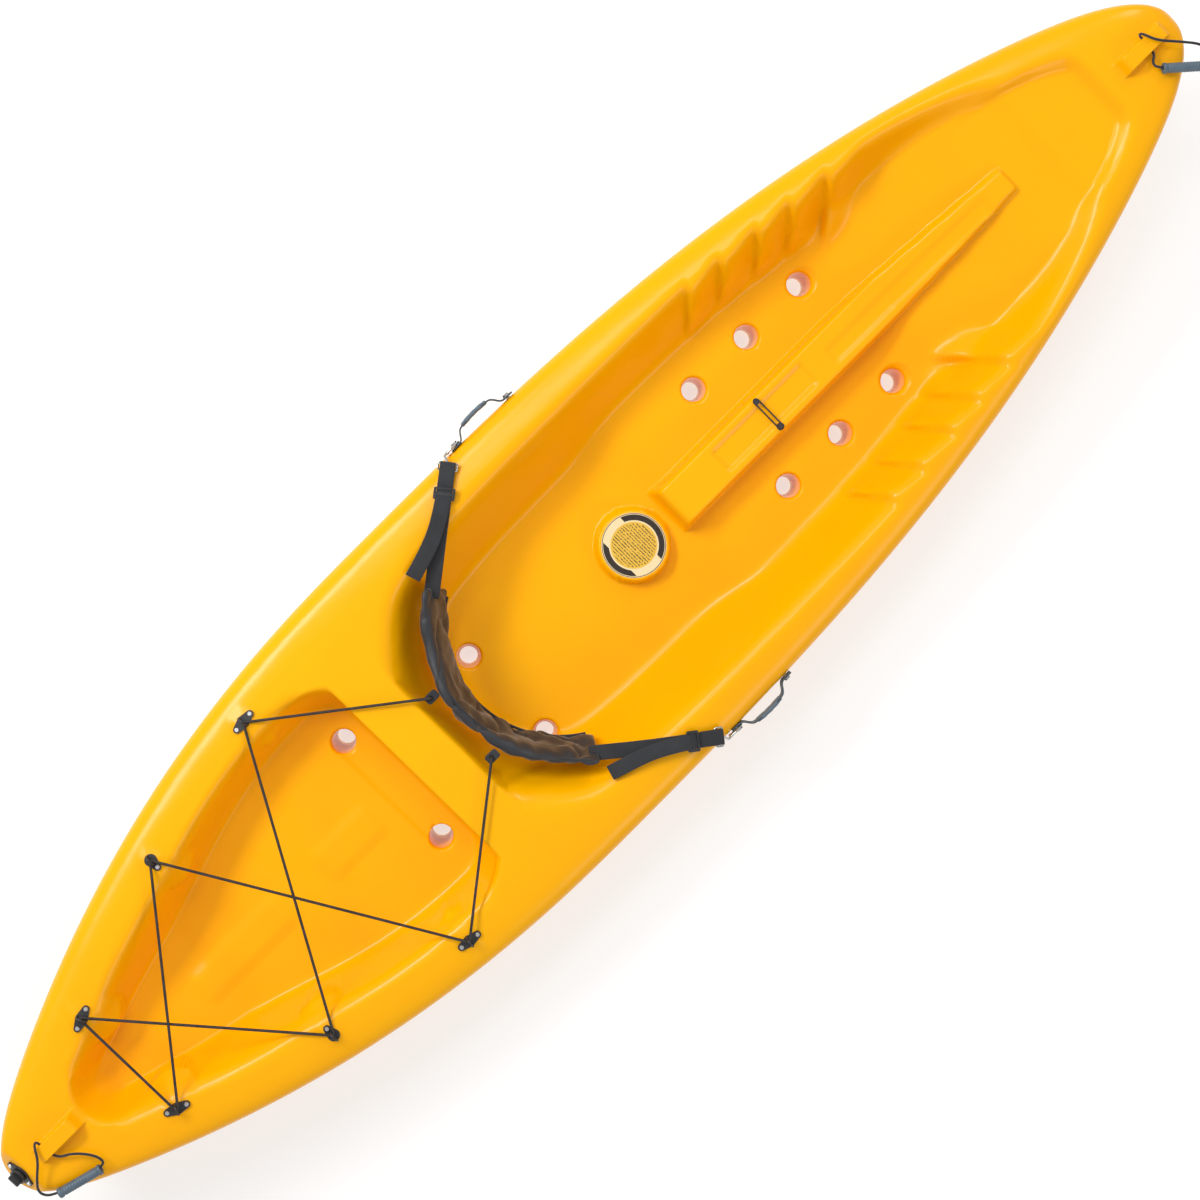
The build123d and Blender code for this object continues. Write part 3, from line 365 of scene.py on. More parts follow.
def decalFilm():  # generic round label: rings, two dark arcs and rows of plain dashes
    material, tree, shader = newMaterial("decalFilm")
    place = objectPlace(tree)
    centred = {0: place, 1: decalPrint["centre"]}
    shifted = addNode(tree, "ShaderNodeVectorMath", centred, operation="SUBTRACT").outputs[0]
    split = addNode(tree, "ShaderNodeSeparateXYZ", {"Vector": shifted}).outputs
    flat = addNode(tree, "ShaderNodeCombineXYZ", {"X": split["X"], "Y": split["Y"], "Z": 0.0}).outputs[0]
    radius = addNode(tree, "ShaderNodeVectorMath", {0: flat}, operation="LENGTH").outputs["Value"]

    def clamped(operation, first, second):
        return maths(tree, operation, first, second, use_clamp=True)

    def between(value, low, high):
        return clamped("MULTIPLY", clamped("GREATER_THAN", value, low), clamped("LESS_THAN", value, high))

    arcs = clamped("ADD", between(split["X"], 0.018, 1.0), between(split["X"], -1.0, -0.036))
    arcs = clamped("MULTIPLY", between(radius, 0.046, 0.0565), arcs)
    rows = maths(tree, "SINE", maths(tree, "MULTIPLY", split["X"], 1250.0))
    dashes = clamped("MULTIPLY", between(rows, 0.35, 2.0), between(noise(tree, place, 420.0, 0.0), 0.46, 1.0))
    dashes = clamped("MULTIPLY", dashes, between(radius, -1.0, 0.040))
    ink = clamped("ADD", clamped("ADD", arcs, dashes), between(radius, 0.0577, 0.0590))
    ground = mixColours(tree, between(radius, 0.043, 1.0), decalPrint["ground"], decalPrint["edge"])
    tree.links.new(mixColours(tree, ink, ground, decalPrint["ink"]), shader.inputs["Base Color"])
    gloss = useEffect(tree, "patches", {"Scale": 30, "From": 0.3, "To": 0.8})
    tree.links.new(rescale(tree, gloss, 0.22, 0.4), shader.inputs["Roughness"])
    return material


threadPitch = (2600, 3600, 0.0006)  # of webbing: waves along and across for each metre, and height
materials = {
    "moulded_polyethylene": hullPlastic(),
    "black_plastic": mouldedPlastic("blackPlastic", (0.02, 0.02, 0.022), (0.04, 0.04, 0.042), 0.38),
    "grip_plastic": mouldedPlastic("gripPlastic", (0.085, 0.125, 0.165), (0.12, 0.165, 0.2), 0.42,
                                   (500, 0.25)),
    "seal_rubber": mouldedPlastic("sealRubber", (0.012, 0.012, 0.012), (0.03, 0.03, 0.03), 0.7),
    "webbing": wovenCloth("webbing", (0.035, 0.037, 0.042), (0.008, 0.008, 0.01), *threadPitch),
    "handle_webbing": wovenCloth("handleWebbing", (0.07, 0.1, 0.13), (0.02, 0.035, 0.045), *threadPitch),
    "pad_fabric": packCloth("padFabric"),
    "elastic_cord": mouldedPlastic("elasticCord", (0.02, 0.016, 0.015), (0.05, 0.042, 0.04), 0.6,
                                   (1500, 0.6)),
    "toggle_rope": wovenCloth("toggleRope", (0.035, 0.035, 0.04), (0.008, 0.008, 0.01), 2200, 1400, 0.0006),
    "stainless": drawnMetal("stainless", (0.62, 0.62, 0.61), 0.24),
    "rivet_aluminium": drawnMetal("rivetAluminium", (0.78, 0.78, 0.8), 0.3),
    "insert_brass": drawnMetal("insertBrass", (0.72, 0.5, 0.22), 0.3),
    "decal_film": decalFilm(),
}
slotOfNode = {entry["node"]: entry["material_slot"] for entry in frame["record"]["subparts"]}
for member, cadNode in nodes.items():  # every carried-over node gets its slot's finish
    finish = materials[slotOfNode[member]]
    if not cadNode.material_slots:
        cadNode.data.materials.append(finish)
    for place in cadNode.material_slots:
        place.material = finish
print("materials made for", len(nodes), "nodes")


# toggle cords: a loop through the hole in each tip's ridge and through its grip
toggleCord = {
    "diameter": 4.5,
    "bow": [(1375, -75, 313.1), (1337.2, -42, 313.1), (1338, -27, 313.8), (1352, -21, 314.3),
            (1352, 22, 314.3), (1352.5, 22.5, 331), (1362, -4, 332), (1392, -34, 324), (1420, -64, 317),
            (1427, -89, 314), (1418.7, -113, 313.1), (1376.6, -76.4, 313.1)],
    "stern": [(-1337.6, -81.4, 299.5), (-1288, -94.7, 299.5), (-1284, -72, 303), (-1307, -38, 307),
              (-1336, -22, 308.1), (-1336, 22, 308.1), (-1338, 22.5, 325), (-1352, -2, 326.5),
              (-1378, -22, 319), (-1401, -44, 308), (-1388, -67.9, 299.5), (-1339.6, -80.9, 299.5)],
}


def cordLine(name, route):  # the smooth line of a cord, read from a NURBS curve led by its route
    curve = bpy.data.curves.new(name, "CURVE")
    curve.dimensions, curve.resolution_u = "3D", 12
    spline = curve.splines.new("NURBS")
    spline.points.add(len(route) - 1)
    weighted = np.column_stack([np.array(route, float) / 1000, np.ones(len(route))])
    spline.points.foreach_set("co", weighted.ravel())
    spline.order_u = 3
    spline.use_endpoint_u = True
    holder = bpy.data.objects.new(name, curve)
    mesh = bpy.data.meshes.new_from_object(holder)
    line = pointsOf(mesh)
    bpy.data.objects.remove(holder)
    bpy.data.meshes.remove(mesh)
    return line


def frameAlong(line):  # headings and two cross directions at each point, carried along without twist
    ahead = unit(np.gradient(line, axis=0))
    across = np.empty_like(line)
    start = np.cross(ahead[0], (0, 0, 1))
    across[0] = start if np.linalg.norm(start) > 0.1 else np.cross(ahead[0], (1, 0, 0))
    for i in range(1, len(line)):
        across[i] = across[i - 1] - ahead[i] * across[i - 1].dot(ahead[i])
    across = unit(across)
    return ahead, across, np.cross(ahead, across)


def tube(name, line, radius, material, around=12):
    # point = line + radius * (cos, sin) of the angle in the cross plane, its ends closed by poles
    ahead, across, up = frameAlong(line)
    angle = circle(around)
    ring = np.cos(angle)[None, :, None] * across[:, None] + np.sin(angle)[None, :, None] * up[:, None]
    points = (line[:, None] + ring * radius).reshape(-1, 3)
    run = runAlong(line)[:, None] / 1000
    uv = np.stack(np.broadcast_arrays(run, angle[None, :] * radius / 1000), -1).reshape(-1, 2)
    points = np.vstack([points, line[0] - ahead[0] * radius * 0.4, line[-1] + ahead[-1] * radius * 0.4])
    uv = np.vstack([uv, uv[0], uv[-1]])
    return newPiece(name, points, poledFaces(len(line), around), material, uv)


def addToggleCords():
    for end in ("bow", "stern"):
        line = cordLine(end + "ToggleLine", toggleCord[end])
        cord = tube(end + "ToggleCord", line, toggleCord["diameter"] / 2, materials["toggle_rope"])
        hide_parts(end + "_toggle_cord")
        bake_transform(cord)


addToggleCords()


# the hull, one closed skin with its wells, ridges and drain holes
hull = {
    "halfLength": 1430, "halfBeam": 355, "rimHeight": 225, "bowRise": 95, "sternRise": 85, "rimDepth": 48,
    "rocker": 80, "stemRise": 110, "sink": 4, "widestAt": -250,
    "bowPlan": (0.80, 2.8), "sternPlan": (0.85, 2.25),
    "nosePower": 40, "deckFullness": 0.854, "bottomFullness": 0.709,
    "edgeSoftness": 17,  # how softly the wells turn over into the deck
    "deckColumns": 104, "bottomColumns": 40, "rowPitch": 4.9,
}
wells = {
    "cockpit": {"floor": 60, "flare": 0.55,
                "outline": [(-305, 0), (-287, 70), (-245, 135), (-175, 186), (450, 186), (650, 165),
                            (870, 128), (960, 96), (1040, 52), (1085, 0)],
                "profile": [(-363, 330), (-329, 80), (-299, 60), (150, 60), (245, 95), (690, 95),
                            (900, 168), (1010, 214), (1110, 250), (1170, 330)]},
    "tankWell": {"floor": 118, "flare": 0.35,
                 "outline": [(-446, 0), (-446, 208), (-600, 205), (-740, 180), (-866, 139), (-1000, 97),
                             (-1141, 35), (-1215, 0)],
                 "profile": [(-434, 330), (-446, 118), (-960, 118), (-1200, 190), (-1305, 330)]},
    "bowRecess": {"floor": 234, "flare": 0.6,
                  "outline": [(930, 0), (940, 140), (1050, 124), (1150, 98), (1220, 60), (1265, 12),
                              (1265, 0)],
                  "profile": [(900, 234), (1090, 252), (1240, 268), (1290, 330)]},
}
footRibs = {"stations": (430, 510, 600, 680, 770, 860), "height": 19, "lean": 100 / 120, "inner": 140}
boss = {"station": 124, "top": 90, "radius": 72, "reach": 90, "draft": 8}
console = {"foot": 50, "start": 205, "end": 1075, "halfWidth": 56, "draft": 10,
           "top": [(196, 133), (235, 147), (760, 147), (1035, 244), (1075, 244)],
           "tray": {"half": 24, "start": 338.5, "end": 565, "depth": 6},
           "panel": {"half": 14, "middle": -8, "start": 613, "end": 990, "depth": 3.5}}
tankBars = {"ranges": ((-1000, -790), (-690, -560)), "half": 30, "middle": -12, "height": 5}
tankGutter = {"station": -500, "half": 20, "halfLength": 130, "depth": 6}
ridges = {"bow": (1345, 120, 324.3), "stern": (-1312, 108, 318.15)}  # middle, length, crown
facet = {"station": -1405, "height": 282}  # the slope under the drain plug, 45 degrees
scuppers = {"places": [(x, s * 124, 95) for x in (402, 538, 674) for s in (1, -1)]
            + [(-235, 69, 60), (-235, -131, 60), (-500, 124, 118), (-500, -124, 118)],
            "throat": 17, "mouth": 23, "straight": 34, "lip": 5}
cordHoles = [(1352, 314.3), (-1336, 308.15)]
eyeSeats = {"reach": 17, "lift": 1.4, "places": [  # port point on the skin and its upward heading
    ((-583, 278.2, 226.7), (0.024, 0.144, 0.989)),
    ((-866, 214.2, 244.8), (0.049, 0.108, 0.993)),
    ((-1140.9, 114.1, 272.3), (0.089, 0.068, 0.994)),
]}
wellEdge = [(-1430, 5), (-1215, 30), (-1141, 60), (-1000, 130), (-866, 172), (-740, 213), (-600, 240),
            (-430, 244), (-330, 120), (-245, 190), (-175, 235), (450, 235), (650, 214), (870, 180),
            (960, 160), (1050, 145), (1150, 115), (1265, 40), (1430, 10)]  # station, and where columns gather


def fineness(x):  # share of the way from the widest station to the tip, and that end's loss and power
    ahead = x > hull["widestAt"]
    share = np.where(ahead, (x - hull["widestAt"]) / (hull["halfLength"] - hull["widestAt"]),
                     (hull["widestAt"] - x) / (hull["halfLength"] + hull["widestAt"]))
    loss = np.where(ahead, hull["bowPlan"][0], hull["sternPlan"][0])
    power = np.where(ahead, hull["bowPlan"][1], hull["sternPlan"][1])
    return share, loss, power


def tipRounding(x):  # square root of 1 - share^40
    return np.sqrt(np.maximum(0, 1 - fineness(x)[0] ** hull["nosePower"]))


def halfBreadth(x):  # halfBeam * (1 - loss * share^power) * tip rounding
    share, loss, power = fineness(x)
    return hull["halfBeam"] * (1 - loss * share**power) * tipRounding(x)


def widestHeight(x):  # rim height + rise * |x / halfLength|^2.5 - rim depth
    rise = np.where(x > 0, hull["bowRise"], hull["sternRise"])
    return hull["rimHeight"] + rise * np.abs(x / hull["halfLength"]) ** 2.5 - hull["rimDepth"]


def keelHeight(x):  # rocker * r^3.2 + stem * r^12 - sink, drawn up to the widest height at the tips
    reach = np.abs(x / hull["halfLength"])
    line = hull["rocker"] * reach**3.2 + hull["stemRise"] * reach**12 - hull["sink"]
    return widestHeight(x) - (widestHeight(x) - line) * tipRounding(x)


def sectionShare(across, fullness):  # height share at a breadth share of a cubic Bezier quarter
    t = np.linspace(0, 1, 4000)
    breadth = 3 * (1 - t) ** 2 * t * fullness + 3 * (1 - t) * t**2 + t**3
    height = (1 - t) ** 3 + 3 * (1 - t) ** 2 * t + 3 * (1 - t) * t**2 * fullness
    return np.interp(across, breadth, height)


def roundedOutline(half, cuts=4):  # a port half outline mirrored, its corners cut again and again
    points = np.array(list(half) + [(x, -y) for x, y in reversed(half) if y > 0.01], float)
    for _ in range(cuts):
        after = np.roll(points, -1, axis=0)
        points = np.stack([0.75 * points + 0.25 * after, 0.25 * points + 0.75 * after], 1).reshape(-1, 2)
    return points


def outsideDistance(x, y, outline):  # distance to an outline, negative inside it
    start, end = outline, np.roll(outline, -1, axis=0)
    best = np.full(x.shape, 1e9)
    inside = np.zeros(x.shape, bool)
    for (ax, ay), (bx, by) in zip(start, end):
        dx, dy = bx - ax, by - ay
        t = np.clip(((x - ax) * dx + (y - ay) * dy) / (dx * dx + dy * dy), 0, 1)
        best = np.minimum(best, (x - ax - t * dx) ** 2 + (y - ay - t * dy) ** 2)
        if ay != by:
            inside ^= ((ay > y) != (by > y)) & (x < ax + (y - ay) * dx / (by - ay))
    return np.where(inside, -1, 1) * np.sqrt(best)


def wellSurface(x, y, well, soft):  # the higher of the floor profile and the side, floor + distance / flare
    stations, heights = np.array(well["profile"], float).T
    order = np.argsort(stations)
    fine = np.linspace(stations.min(), stations.max(), 700)
    smooth = np.interp(fine, stations[order], heights[order])
    sharp, slow = (np.convolve(np.pad(smooth, reach, mode="edge"), np.hanning(2 * reach + 1)
                               / np.hanning(2 * reach + 1).sum(), "valid") for reach in (13, 38))
    smooth = sharp + (slow - sharp) * smoothStep(fine, 20, 120) * (1 - smoothStep(fine, 850, 950))
    bottom = np.interp(x, fine, smooth)
    bottom = np.where(x < fine[0], 900, np.where(x > fine[-1], 900, bottom))
    side = well["floor"] + outsideDistance(x, y, roundedOutline(well["outline"])) / well["flare"]
    return smoothMax(bottom, side, soft)


def addFootRibs(x, y, wall):  # braces on the footwell's sides: steep on the aft face, fading forwards
    reach = np.abs(y)
    along = x - (reach - 170) * footRibs["lean"]
    height = np.zeros(x.shape)
    stations = footRibs["stations"]
    for at, after in zip(stations, stations[1:]):
        share = (along - at) / (after - at)
        height += smoothStep(share, -0.06, 0.12) * (1 - smoothStep(share, 0.12, 1.0)) ** 0.8 * (share < 1)
    fade = smoothStep(reach, footRibs["inner"] - 12, footRibs["inner"] + 35) * smoothStep(wall, 98, 120)
    return wall + footRibs["height"] / wells["cockpit"]["flare"] * 0.8 * height * fade


def addConsole(x, y, cockpit):  # boss for the label, then the ridge between the legs: a drafted block
    radius = np.hypot(x - boss["station"], y)
    dome = console["foot"] + (boss["radius"] - radius) / math.tan(math.radians(boss["draft"]))
    dome = np.minimum(boss["top"], dome)
    cockpit = smoothMax(cockpit, np.where(radius < boss["reach"], dome, -500), 5)
    slope = math.tan(math.radians(console["draft"]))
    ends = np.minimum(x - console["start"], console["end"] - x) / slope
    side = console["foot"] + (console["halfWidth"] - np.abs(y)) / slope
    ridge = smoothMin(side, console["foot"] + ends, 9)
    ridge = smoothMin(ridge, np.interp(x, *np.array(console["top"]).T), 7)
    tray, panel = console["tray"], console["panel"]
    trayShare = smoothStep(tray["half"] - np.abs(y), -1.5, 1.5) * smoothStep(x, tray["start"], 342)
    trayShare = trayShare * smoothStep(tray["end"] - x, -2, 1.5)
    panelShare = smoothStep(panel["half"] - np.abs(y - panel["middle"]), -2, 2)
    panelShare = panelShare * smoothStep(x, panel["start"], 617) * smoothStep(panel["end"] - x, -2, 2)
    ridge = ridge - tray["depth"] * trayShare - panel["depth"] * panelShare
    return smoothMax(cockpit, ridge, 7)


def tankSurface(x, y):  # the tank well with two low bars along its floor and a gutter between its drains
    tank = wellSurface(x, y, wells["tankWell"], 20)
    for start, end in tankBars["ranges"]:
        bar = smoothStep(tankBars["half"] - np.abs(y - tankBars["middle"]), -14, 14)
        bar = bar * smoothStep(x, start - 16, start + 16)
        tank = tank + tankBars["height"] * bar * smoothStep(end - x, -16, 16) * (tank < 180)
    gutter = smoothStep(tankGutter["half"] - np.abs(x - tankGutter["station"]), -9, 9)
    return tank - tankGutter["depth"] * gutter * smoothStep(tankGutter["halfLength"] - np.abs(y), -14, 14)


def deckSurface(x, y, crown):
    soft = hull["edgeSoftness"]
    cockpit = wellSurface(x, y, wells["cockpit"], 26)
    cockpit = addConsole(x, y, addFootRibs(x, y, cockpit))
    deck = smoothMin(crown, tankSurface(x, y), soft)
    deck = smoothMin(deck, wellSurface(x, y, wells["bowRecess"], 16), 9)
    return smoothMin(deck, cockpit, np.interp(x, (700, 950), (soft, 34)))


def addRidge(x, y, deck, middle, length, crown):  # carrying ridge: steep sides and ends, round top
    ends = crown - np.maximum(0, np.abs(x - middle) - (length / 2 - 18)) * 45 / 18
    sides = crown + (13.4 - np.abs(y)) * 9
    ridge = smoothMin(smoothMin(ends, sides, 7), np.full(x.shape, crown + 0.9), 5)
    return smoothMax(deck, ridge, 9)


def addEyeSeats(x, y, deck):  # a small flat under each deck eye, just above the skin
    for (cx, cy, cz), (nx, ny, nz) in eyeSeats["places"]:
        for side in (1, -1):
            plane = cz + eyeSeats["lift"] - (nx * (x - cx) + side * ny * (y - side * cy)) / nz
            away = np.hypot(x - cx, y - side * cy)
            seat = plane - np.maximum(0, away - eyeSeats["reach"]) * 1.2
            deck = np.where(away < 60, smoothMax(deck, seat, 2), deck)
    return deck


def facetHeight(x):
    return facet["height"] + x - facet["station"]


def hullGrid():
    tip = 45
    ends = hull["halfLength"] - 2 - tip * (1 - np.sin(np.linspace(0, math.pi / 2, 22)))
    middle = np.arange(-(ends[0] - 1), ends[0] - 0.5, hull["rowPitch"])
    middle = np.linspace(-ends[0], ends[0], len(middle) + 1)[1:-1]
    x = np.concatenate([-ends[::-1], middle, ends])
    breadth = halfBreadth(x)
    # columns gather along the wells' sides, the ridge's sides and the rim
    wellSide = np.interp(x, *np.array(wellEdge).T)
    blur = np.hanning(15)
    wellSide = np.convolve(np.pad(wellSide, 7, mode="edge"), blur / blur.sum(), "valid")
    wellSide = np.clip(wellSide, 0.35 * breadth, 0.86 * breadth)
    inner = np.minimum(np.interp(np.abs(x), (0, 1100, 1250), (50, 50, 14)), 0.28 * breadth)
    half = hull["deckColumns"] // 2
    a, b = int(half * 0.24), int(half * 0.78)
    index = np.arange(half + 1)
    first = np.interp(index, (0, a), (0, 1))
    first = 1 - (1 - first) ** 1.3
    second = np.interp(index, (a, b), (0, 1))
    second = np.clip(second - 0.11 * np.sin(2 * math.pi * second), 0, 1)
    third = np.sin(np.interp(index, (b, half), (0, 1)) * math.pi / 2)
    y = inner[:, None] * first + (wellSide - inner)[:, None] * second + (breadth - wellSide)[:, None] * third
    deckY = np.concatenate([-y[:, :0:-1], y], axis=1)
    station = np.repeat(x[:, None], deckY.shape[1], axis=1)
    share = np.clip(np.abs(deckY) / np.maximum(breadth, 1e-6)[:, None], 0, 1)
    rim = widestHeight(x)[:, None]
    crown = rim + hull["rimDepth"] * tipRounding(x)[:, None] * sectionShare(share, hull["deckFullness"])
    deck = np.minimum(deckSurface(station, deckY, crown), crown)
    for middle, length, top in ridges.values():
        deck = addRidge(station, deckY, deck, middle, length, top)
    deck = addEyeSeats(station, deckY, deck)
    deck = smoothMin(deck, facetHeight(station), 2.5)
    deck[:, [0, -1]] = np.minimum(rim, facetHeight(x[:, None]))
    angle = np.linspace(math.pi / 2, -math.pi / 2, hull["bottomColumns"] + 2)[1:-1]
    lowShare = np.sin(angle)[None, :]
    depth = (widestHeight(x) - keelHeight(x))[:, None]
    low = rim - depth * sectionShare(np.abs(lowShare), hull["bottomFullness"])
    low = np.maximum(0, np.minimum(low, facetHeight(x[:, None])))
    lowY = breadth[:, None] * lowShare
    below = np.stack([np.repeat(x[:, None], lowY.shape[1], axis=1), lowY, low], -1)
    return np.concatenate([np.stack([station, deckY, deck], -1), below], axis=1)


def addHull():
    rows = hullGrid()
    count, columns = rows.shape[:2]
    points = np.vstack([rows.reshape(-1, 3), rows[0].mean(0), rows[-1].mean(0)])
    return newPiece("hullSkin", points, poledFaces(count, columns), materials["moulded_polyethylene"])


def revolved(profile, place, heading, side, around):
    # point = place + height * heading + radius * (cos * side + sin * (heading x side))
    profile, angle = np.array(profile, float), circle(around)
    ring = np.cos(angle)[:, None] * side + np.sin(angle)[:, None] * np.cross(heading, side)
    return place + profile[:, 1][:, None, None] * heading + profile[:, 0][:, None, None] * ring[None]


def turned(profile, place, heading, around=40):  # a profile of (radius, height) turned about an axis
    heading = np.array(heading, float)
    side = unit(np.cross(heading, (0, 1, 0) if abs(heading[1]) < 0.9 else (1, 0, 0)))
    points = revolved(profile, np.array(place, float), heading, side, around)
    return points.reshape(-1, 3), cappedFaces(len(profile), around)


def scupperProfile(floor):  # straight throat, flared foot and a lip rolled over into the floor
    throat, mouth, lip = scuppers["throat"], scuppers["mouth"], scuppers["lip"]
    profile = [(throat + 4, -12), (throat + 4, -0.5), (throat + 1.2, 1.5), (throat, 5),
               (throat, scuppers["straight"]), (mouth - 1, floor - lip * 2)]
    for bend in np.linspace(0, 1, 6)[1:] * 1.35:
        radius = mouth - 1 + (lip + 2) * (1 - math.cos(bend))
        profile.append((radius, floor - lip * 2 + lip * 2.1 * math.sin(bend)))
    return profile + [(profile[-1][0] + 14, floor + 16)]


def cutHoles(skin):  # every drain hole and cord hole in one cut
    cutters = [turned(scupperProfile(z), (x, y, 0), (0, 0, 1)) for x, y, z in scuppers["places"]]
    through = [(7, -17), (5, -13.5), (3.7, -11), (3.5, 0), (3.7, 11), (5, 13.5), (7, 17)]
    cutters += [turned(through, (x, 0, z), (0, 1, 0), 24) for x, z in cordHoles]
    allFaces, offset = [], 0
    for points, faces in cutters:
        allFaces += [[offset + v for v in face] for face in faces]
        offset += len(points)
    allPoints = np.vstack([points for points, _ in cutters])
    cutter = newPiece("drainCutter", allPoints, allFaces, materials["moulded_polyethylene"])
    cut = skin.modifiers.new("holes", "BOOLEAN")
    cut.operation, cut.solver, cut.object = "DIFFERENCE", "EXACT", cutter
    applyModifiers(skin)
    bpy.data.objects.remove(cutter)


hullSkinPiece = addHull()
cutHoles(hullSkinPiece)
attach(hullSkinPiece, "hull")
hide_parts("hull")
print("hull skin", len(hullSkinPiece.data.polygons), "faces")


# elastic cords held at both ends: the deck bungee, its tails to the backrest, and the paddle keeper
elastic = {
    "radius": 2.5,
    "keeperRadius": 1.5,
    "bend": 11,  # how near a corner the straight runs begin to turn
    "deck": [(-567.5, 265.5, 234.1), (-583.3, 277.8, 233.7), (-864.9, -223.1, 250.7),
             (-1142.0, 119.8, 278.4), (-1141.4, -120.1, 284.0), (-864.6, 223.7, 256.2),
             (-583.1, -278.6, 239.3), (-567.4, -266.3, 239.3)],
    "port": [(-567.3, 265.3, 234.1), (-322.5, 75, 240), (-322.5, 75, 224)],
    "starboard": [(-567.2, -266.1, 239.3), (-322.5, -75, 240), (-322.5, -75, 224)],
    "keeper": [(465.4, -31.5, 141), (465.4, -30, 150), (465.4, 31.5, 150), (461, 37.5, 150),
               (456.6, 31.5, 150), (456.6, -30, 150), (456.6, -31.5, 141)],
    "knot": 1.45,
}


def tautRoute(route, bend):  # the same corners, with a point on each run just before and after every one
    points = [np.array(p, float) for p in route]
    out = [points[0]]
    for before, corner, after in zip(points, points[1:], points[2:]):
        near = [min(bend, 0.4 * np.linalg.norm(side - corner)) for side in (before, after)]
        out += [corner + unit(before - corner) * near[0], corner, corner + unit(after - corner) * near[1]]
    return out + [points[-1]]


def addElastic():
    finish = materials["elastic_cord"]
    deck = tube("deckBungee", cordLine("deckBungeeLine", tautRoute(elastic["deck"], elastic["bend"])),
                elastic["radius"], finish, 10)
    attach(deck, "hull")
    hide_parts("deck_bungee")
    keeper = tube("paddleKeeper", cordLine("keeperLine", tautRoute(elastic["keeper"], 4)),
                  elastic["keeperRadius"], finish, 10)
    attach(keeper, "hull")
    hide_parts("keeper_cord")
    for side in sides:
        route = elastic[side]
        line = cordLine(side + "TailLine", tautRoute(route, elastic["bend"]))
        tail = tube("bungeeTail_" + side, line, elastic["radius"], finish, 10)
        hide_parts("bungee_tail_" + side)
        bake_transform(tail)
        # stopper knot under the tab: a trefoil drawn tight
        t = np.linspace(0, 2 * math.pi, 73)
        trefoil = np.stack([(2 + np.cos(3 * t)) * np.cos(2 * t), (2 + np.cos(3 * t)) * np.sin(2 * t),
                            1.4 * np.sin(3 * t)], -1) * elastic["knot"]
        knot = tube("bungeeKnot_" + side, trefoil + np.array(route[2]) + (0, 0, 0.6), 1.9, finish, 10)
        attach(knot, "backrest")
        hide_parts("bungee_tail_" + side)


addElastic()
print("elastic cords laid")


# flat webbing: the backrest's straps and tails, and the ends of the side handles
webbing = {
    "strap": {"width": 28, "thickness": 2.2,
              "route": [(-40, 320.4, 213.0), (-17, 337.8, 212.6), (-8.5, 344.3, 213.2), (-7.6, 345, 216.5),
                        (-8.5, 344.3, 219.9), (-18, 337, 220.6), (-56, 308, 222.3), (-96, 277, 225),
                        (-140, 243, 218), (-176, 215, 206), (-199, 198, 199)]},
    "tail": {"width": 28, "thickness": 2.2,
             "route": [(-46, 315.5, 225.6), (-72, 297, 228.5), (-115, 272, 232), (-160, 256, 231),
                       (-196, 246, 223)]},
    "acrossPort": (-0.613, 0.790, 0.0),
    "handleEnds": {"width": 25, "thickness": 3, "y": 353.69, "gripY": 373.69, "z": 182,
                   "front": (159.5, 148, 135, 125, 117, 104), "rear": (10.5, 22, 35, 45, 53, 66)},
}


def ribbon(name, line, across, width, thickness, material, around=20):
    # section = a flat oval, |2 n / thickness|^4.4 + |2 b / width|^4.4 = 1, held level with (across)
    across = np.asarray(across)
    ahead = unit(np.gradient(line, axis=0))
    level = unit(across - ahead * (ahead @ across)[:, None])
    normal = np.cross(level, ahead)
    b = flattened(np.cos(circle(around)), 0.45) * width / 2
    n = flattened(np.sin(circle(around)), 0.45) * thickness / 2
    points = line[:, None] + level[:, None] * b[None, :, None] + normal[:, None] * n[None, :, None]
    uv = np.stack(np.broadcast_arrays(runAlong(line)[:, None], b[None, :]), -1).reshape(-1, 2) / 1000
    return newPiece(name, points.reshape(-1, 3), cappedFaces(len(line), around), material, uv)


def mirrored(route, side):
    return [(x, y * side, z) for x, y, z in route]


def addWebbing():
    for side, sign in sides.items():
        across = np.array(webbing["acrossPort"]) * (1, sign, 1)
        for part in ("strap", "tail"):
            cut = webbing[part]
            line = cordLine(part + side, mirrored(cut["route"], sign))
            share = np.linspace(0, 1, len(line))[:, None]
            wander = (part == "tail") * 1.2 * np.sin(share * 9 + sign) * np.sin(share * math.pi)
            name = ("backrestStrap_" if part == "strap" else "strapTail_") + side
            piece = ribbon(name, line + wander * (0, 0, 1), across, cut["width"], cut["thickness"],
                           materials["webbing"])
            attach(piece, "backrest")
            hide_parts(("backrest_strap_" if part == "strap" else "strap_tail_") + side)
        ends = webbing["handleEnds"]
        for end in ("front", "rear"):
            x = ends[end]
            y = (ends["y"], ends["y"], ends["y"] + 0.3, ends["gripY"] - 4, ends["gripY"], ends["gripY"])
            line = cordLine(end + side, [(a, b * sign, ends["z"]) for a, b in zip(x, y)])
            piece = ribbon("handleEnd_" + end + "_" + side, line, (0, 0, 1), ends["width"], ends["thickness"],
                           materials["handle_webbing"])
            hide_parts("handle_ends_" + side)
            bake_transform(piece)


addWebbing()
print("webbing laid")


